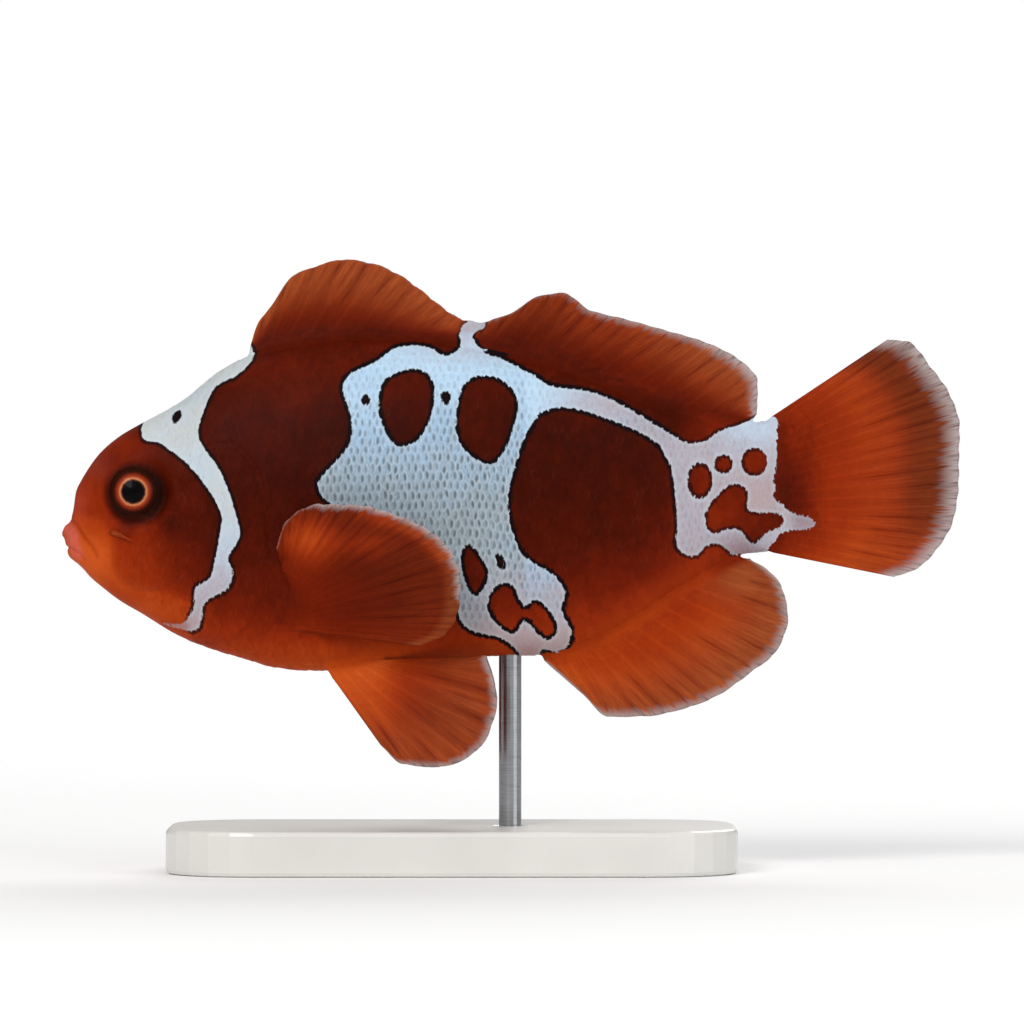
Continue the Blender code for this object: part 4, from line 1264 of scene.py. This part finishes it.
def fish_colour_group():
    """Colour of skin and scales alike, from the values laid on their points."""
    tree = bpy.data.node_groups.new("fish_colour", "ShaderNodeTree")
    tree.interface.new_socket("Place", in_out="INPUT", socket_type="NodeSocketVector")
    for value in LAID + LAID_ON_SCALES:
        tree.interface.new_socket(value.capitalize(), in_out="INPUT", socket_type="NodeSocketFloat")
    for result, kind in (("Colour", "Color"), ("Roughness", "Float"), ("Height", "Float")):
        tree.interface.new_socket(result, in_out="OUTPUT", socket_type="NodeSocket" + kind)
    start, out = tree.nodes.new("NodeGroupInput"), tree.nodes.new("NodeGroupOutput").inputs
    place, *given = (Wire(tree, start.outputs[i]) for i in range(1 + len(LAID + LAID_ON_SCALES)))
    (bar, warmth, shade, rose, lips, veil, line, fin, ray, reach, edge, tawny,
     rim, fore, beside, tone) = given
    mm = in_millimetres(place)

    # brown to orange ground
    cloudy = speckle(mm, 0.16)
    grainy = speckle(mm, 1.3, 3.0, 0.6)
    ground = toned(warmth + cloudy * 0.26 + grainy * 0.14 + tone * 0.030, WARMTH_STOPS)
    creased = speckle(stretched(mm, 3.2, 1.0, 1.0), 1.0)
    ground = blended(lips * (creased * 1.2 + 0.72), ground, LIP_PINK)

    # scale edges catch a little light on the brown
    edge_light = maths("POWER", rim, 1.3)
    glint = edge_light * eased(speckle(mm, 0.5), -0.05, 0.25, 0.0, 0.05)
    ground = blended(glint, ground, GLINT)

    # fins: tawnier outwards, with rays and streaks that grow stronger towards the margin
    ground = blended(tawny * fin, ground, TAWNY)
    flow = vector(ray * 6.5, reach * 2.6)
    streak = speckle(flow, 1.0, 3.0, 0.7)
    strength = eased(reach, 0.35, 0.90, 0.20, 1.25)
    fork = eased(reach, FORK_FROM, FORK_TO, 0.0, FORK_SPREAD)
    from_ray = maths("PINGPONG", ray + 0.5, 0.5) * 2.0
    bone = eased(maths("ABSOLUTE", from_ray - fork), 0.30, 0.08)
    broken = eased(speckle(stretched(flow, 0.3, 0.8, 1.0), 1.0), -0.12, 0.12, 0.15, 1.0)
    seam = eased(from_ray, 0.72, 0.97) * (eased(reach, 0.35, 0.60) * broken)
    streaked = streak * strength + 1.0 + bone * 0.10 - seam * 0.30
    redder = maths("POWER", streaked, 1.5)
    ground = blended(fin, ground, multiplied(ground, streaked, redder, redder))

    # pale fringe, streaked inwards
    fringe = eased(streak * 2.8 + edge, 1.35, 0.05) * fin
    fringe_tint = blended(eased(streak, -0.22, 0.12), FRINGE_SHADE, FRINGE)
    ground = blended(fringe * 0.92, ground, fringe_tint)

    # white patches with a black outline, toothed by the scales' edges
    fine = speckle(stretched(mm, 3.6, 3.6, 1.9), 1.0)
    bar = bar + speckle(mm, 1.6) * 0.22 + fine * (line * -0.35 + 0.55)
    bar = bar + edge_light * eased(shade, -0.25, 0.15, 0.0, 0.22)
    line_out = line * -0.40 - 0.24
    outline = eased(bar, line_out, line_out + 0.28) * line * eased(bar, 0.50, 0.08)
    white = eased(bar, -0.05, 0.10) * (veil * -1.0 + 1.0)
    # the white's tone follows the laid shade: partly its own tone, partly painted shade that darkens it
    # lower down
    pale = toned(shade + cloudy * 0.50 + grainy * 0.30, SHADE_STOPS)
    pale = blended(rose + grainy * 0.5, pale, ROSY)

    # on the white each scale has a dim pocket, painted shadow by its free edge, and a light edge, a painted
    # highlight
    marked = eased(shade, -0.28, 0.85, 0.0, 0.85) * (rose * -0.90 + 1.0)
    off_pocket = length_of(vector(fore * 6.8 - 5.2, beside * 3.3))
    pocket_shadow = eased(off_pocket, 1.25, 0.35) * (marked * (tone * 0.30 + 0.85))
    pale = blended(pocket_shadow, pale, POCKET_SHADOW)
    grained = fine * (marked * 0.80 + 0.14) + 1.0
    pale = multiplied(pale, grained, grained, grained)
    pale = blended(rim * (marked * 0.42), pale, SCALE_EDGE_HIGHLIGHT)
    pale = blended(eased(bar, 0.60, 0.10, 0.0, 0.28), pale, PATCH_EDGE)

    ground = blended(outline, ground, OUTLINE)
    connect(blended(white, ground, pale), out["Colour"])
    connect(grainy * 0.20 + 0.50, out["Roughness"])
    connect(speckle(mm, 4.0) * 0.05 + streak * (fin * 0.10), out["Height"])
    return tree


def fish_look(name, group, laid):
    look, shader, place = new_look(name)
    inputs = {"Place": place}
    for value in laid:
        inputs[value.capitalize()] = add(place.tree, "ShaderNodeAttribute", attribute_name=value,
                                         output="Fac")
    found = new_node(place.tree, "ShaderNodeGroup", {}, node_tree=group)
    for socket, value in inputs.items():
        connect(value, found.inputs[socket])
    colour, rough, height = (Wire(place.tree, socket) for socket in found.outputs)
    connect(colour, shader["Base Color"])
    connect(rough, shader["Roughness"])
    roughened(shader, height, 0.6, 1.0)
    shader["Specular IOR Level"].default_value = 0.04
    return look


def eye_look(side):
    look, shader, place = new_look(f"eye_{side}_gloss")
    low, high = (Vector(corner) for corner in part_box(f"eye_{side}"))
    mm = in_millimetres(vector_maths("SUBTRACT", place, tuple((low + high) / 2)))
    flat = stretched(mm, 1.0, 0.0, 1.0)
    turn = vector_maths("NORMALIZE", flat)
    spokes = speckle(stretched(turn, 7.0, 0.0, 7.0), 1.0, 3.0, 0.6) * 0.7 + 1.0
    flecks = speckle(mm, 3.2)
    radius = length_of(flat) + flecks * 0.24
    connect(multiplied(toned(radius, IRIS_STOPS), spokes, spokes, spokes), shader["Base Color"])
    connect(flecks * 0.10 + 0.40, shader["Roughness"])
    connect(eased(radius, 2.8, 2.0, 0.0, 0.04), shader["Coat Weight"])
    shader["Specular IOR Level"].default_value = 0.03
    shader["Coat Roughness"].default_value = 0.06
    return look


def plain_look(name, shades, grain, peel, rough, bumps, fixed):
    """A material of two close shades. Grain colours it and peel bumps it: stretch, scale, detail."""
    look, shader, place = new_look(name)
    cloud, height = (speckle(stretched(in_millimetres(place), *stretch), scale, detail)
                     for stretch, scale, detail in (grain, peel))
    connect(blended(eased(cloud, -0.3, 0.3), *shades), shader["Base Color"])
    connect(cloud * rough[0] + rough[1], shader["Roughness"])
    roughened(shader, height, *bumps)
    for socket, value in fixed.items():
        shader[socket].default_value = value
    return look


ALONG_SPINE = ((0.6, 3.0, 3.0), 1.0, 3.0)
BRUSHED = ((0.4, 0.4, 14.0), 1.0, 2.0)


def bone_look():
    return plain_look("spine_bone", (paint_mix(126, 42, 15), paint_mix(150, 60, 26)), ALONG_SPINE,
                      ALONG_SPINE, (0.2, 0.42), (1.0, 0.05), {"Specular IOR Level": 0.05})


def lacquer_look():
    return plain_look("stand_lacquer", (paint_mix(214, 212, 207), paint_mix(224, 222, 217)),
                      ((1.0, 1.0, 1.0), 0.05, 3.0), ((1.0, 1.0, 1.0), 1.2, 2.0), (0.12, 0.38),
                      (0.25, 0.05), {"Coat Weight": 0.3, "Coat Roughness": 0.12})


def steel_look():
    return plain_look("stand_steel", (paint_mix(150, 152, 156), paint_mix(184, 186, 190)), BRUSHED,
                      BRUSHED, (0.18, 0.34), (0.3, 0.02), {"Metallic": 1.0})


def finish_node(name, look):
    """Gives a CAD node that stays its finish."""
    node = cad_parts[name]
    node.data.materials.clear()
    node.data.materials.append(look)


# ---------------------------------------------------------------- studio

FLOOR_SIZE = 2.4
FADE_FROM, FADE_TO = 0.16, 0.55               # where the floor fades out, from its middle
PAPER = 0.93


def make_floor():
    """A pale round floor that fades out towards its rim."""
    bpy.ops.mesh.primitive_circle_add(vertices=96, radius=FLOOR_SIZE / 2, fill_type="NGON",
                                      location=(0, 0, 0))
    floor = bpy.context.object
    floor.name = "studio_floor"
    look, shader, place = new_look("studio_paper")
    tone = speckle(place, 900.0) * 0.01 + PAPER
    connect(add(place.tree, "ShaderNodeCombineColor", tone, tone, tone), shader["Base Color"])
    connect(eased(length_of(place), FADE_FROM, FADE_TO, 1.0, 0.0), shader["Alpha"])
    shader["Roughness"].default_value = 0.9
    shader["Specular IOR Level"].default_value = 0.1
    floor.data.materials.append(look)


def soft_light(name, place, aim, size, watts, tint=(1.0, 1.0, 1.0)):
    lamp = bpy.data.lights.new(name, "AREA")
    lamp.shape = "DISK"
    lamp.size = size
    lamp.energy = watts
    lamp.color = tint
    stand = bpy.data.objects.new(name, lamp)
    stand.location = place
    stand.rotation_euler = (Vector(aim) - Vector(place)).to_track_quat("-Z", "Y").to_euler()
    bpy.context.scene.collection.objects.link(stand)


HORIZON_LIGHT = 0.16
ZENITH_LIGHT = 0.66


def make_world():
    world = bpy.data.worlds.new("studio_air")
    world.use_nodes = True
    tree = world.node_tree
    back = tree.nodes["Background"]
    seen = add(tree, "ShaderNodeLightPath", output="Is Camera Ray")
    way = add(tree, "ShaderNodeTexCoord", output="Generated")
    height = add(tree, "ShaderNodeSeparateXYZ", way, output="Z")
    glow = eased(height, 0.0, 0.9, HORIZON_LIGHT, ZENITH_LIGHT)
    connect(eased(seen, 0.0, 1.0, glow, 1.0, kind="LINEAR"), back.inputs["Strength"])
    back.inputs["Color"].default_value = (1.0, 1.0, 1.0, 1.0)
    bpy.context.scene.world = world


CAMERA_HEIGHT = 0.048
CAMERA_AWAY = 0.9528


def make_camera():
    data = bpy.data.cameras.new("camera")
    data.lens = 250
    data.sensor_width = 36
    data.clip_start = 0.05
    data.clip_end = 20
    camera = bpy.data.objects.new("camera", data)
    camera.location = (0, -CAMERA_AWAY, CAMERA_HEIGHT)
    camera.rotation_euler = (math.pi / 2, 0, 0)
    bpy.context.scene.collection.objects.link(camera)
    bpy.context.scene.camera = camera


FLESH = (
    "head", "lower_jaw", "gill_cover_left", "gill_cover_right", "trunk", "tail_stalk",
    "dorsal_fin_spiny", "dorsal_fin_soft", "tail_fin", "anal_fin", "pelvic_fin_left",
    "pelvic_fin_right", "pectoral_fin_left", "pectoral_fin_right",
)

fish_colour = fish_colour_group()
skin = make_skin(fish_look("fish_skin", fish_colour, LAID))
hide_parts(*FLESH)
make_coat(fish_look("fish_scale", fish_colour, LAID + LAID_ON_SCALES))
spine_look = bone_look()
for side, sign in (("left", 1), ("right", -1)):
    make_eye(side, sign, eye_look(side))
    make_spine(side, sign, spine_look)
finish_node("stand_base", lacquer_look())
finish_node("stand_rod", steel_look())
make_floor()
make_world()
soft_light("key", (-0.40, -0.80, 0.60), (0, 0, 0.05), 0.45, 5.4, (1.0, 0.985, 0.96))
soft_light("fill", (0.75, -0.65, 0.30), (0, 0, 0.05), 0.50, 2.4, (0.96, 0.98, 1.0))
soft_light("rear", (0.25, 0.85, 0.60), (0, 0, 0.05), 0.80, 4.8)
make_camera()
bpy.context.scene.view_settings.view_transform = "Standard"
bpy.context.scene.view_settings.look = "None"
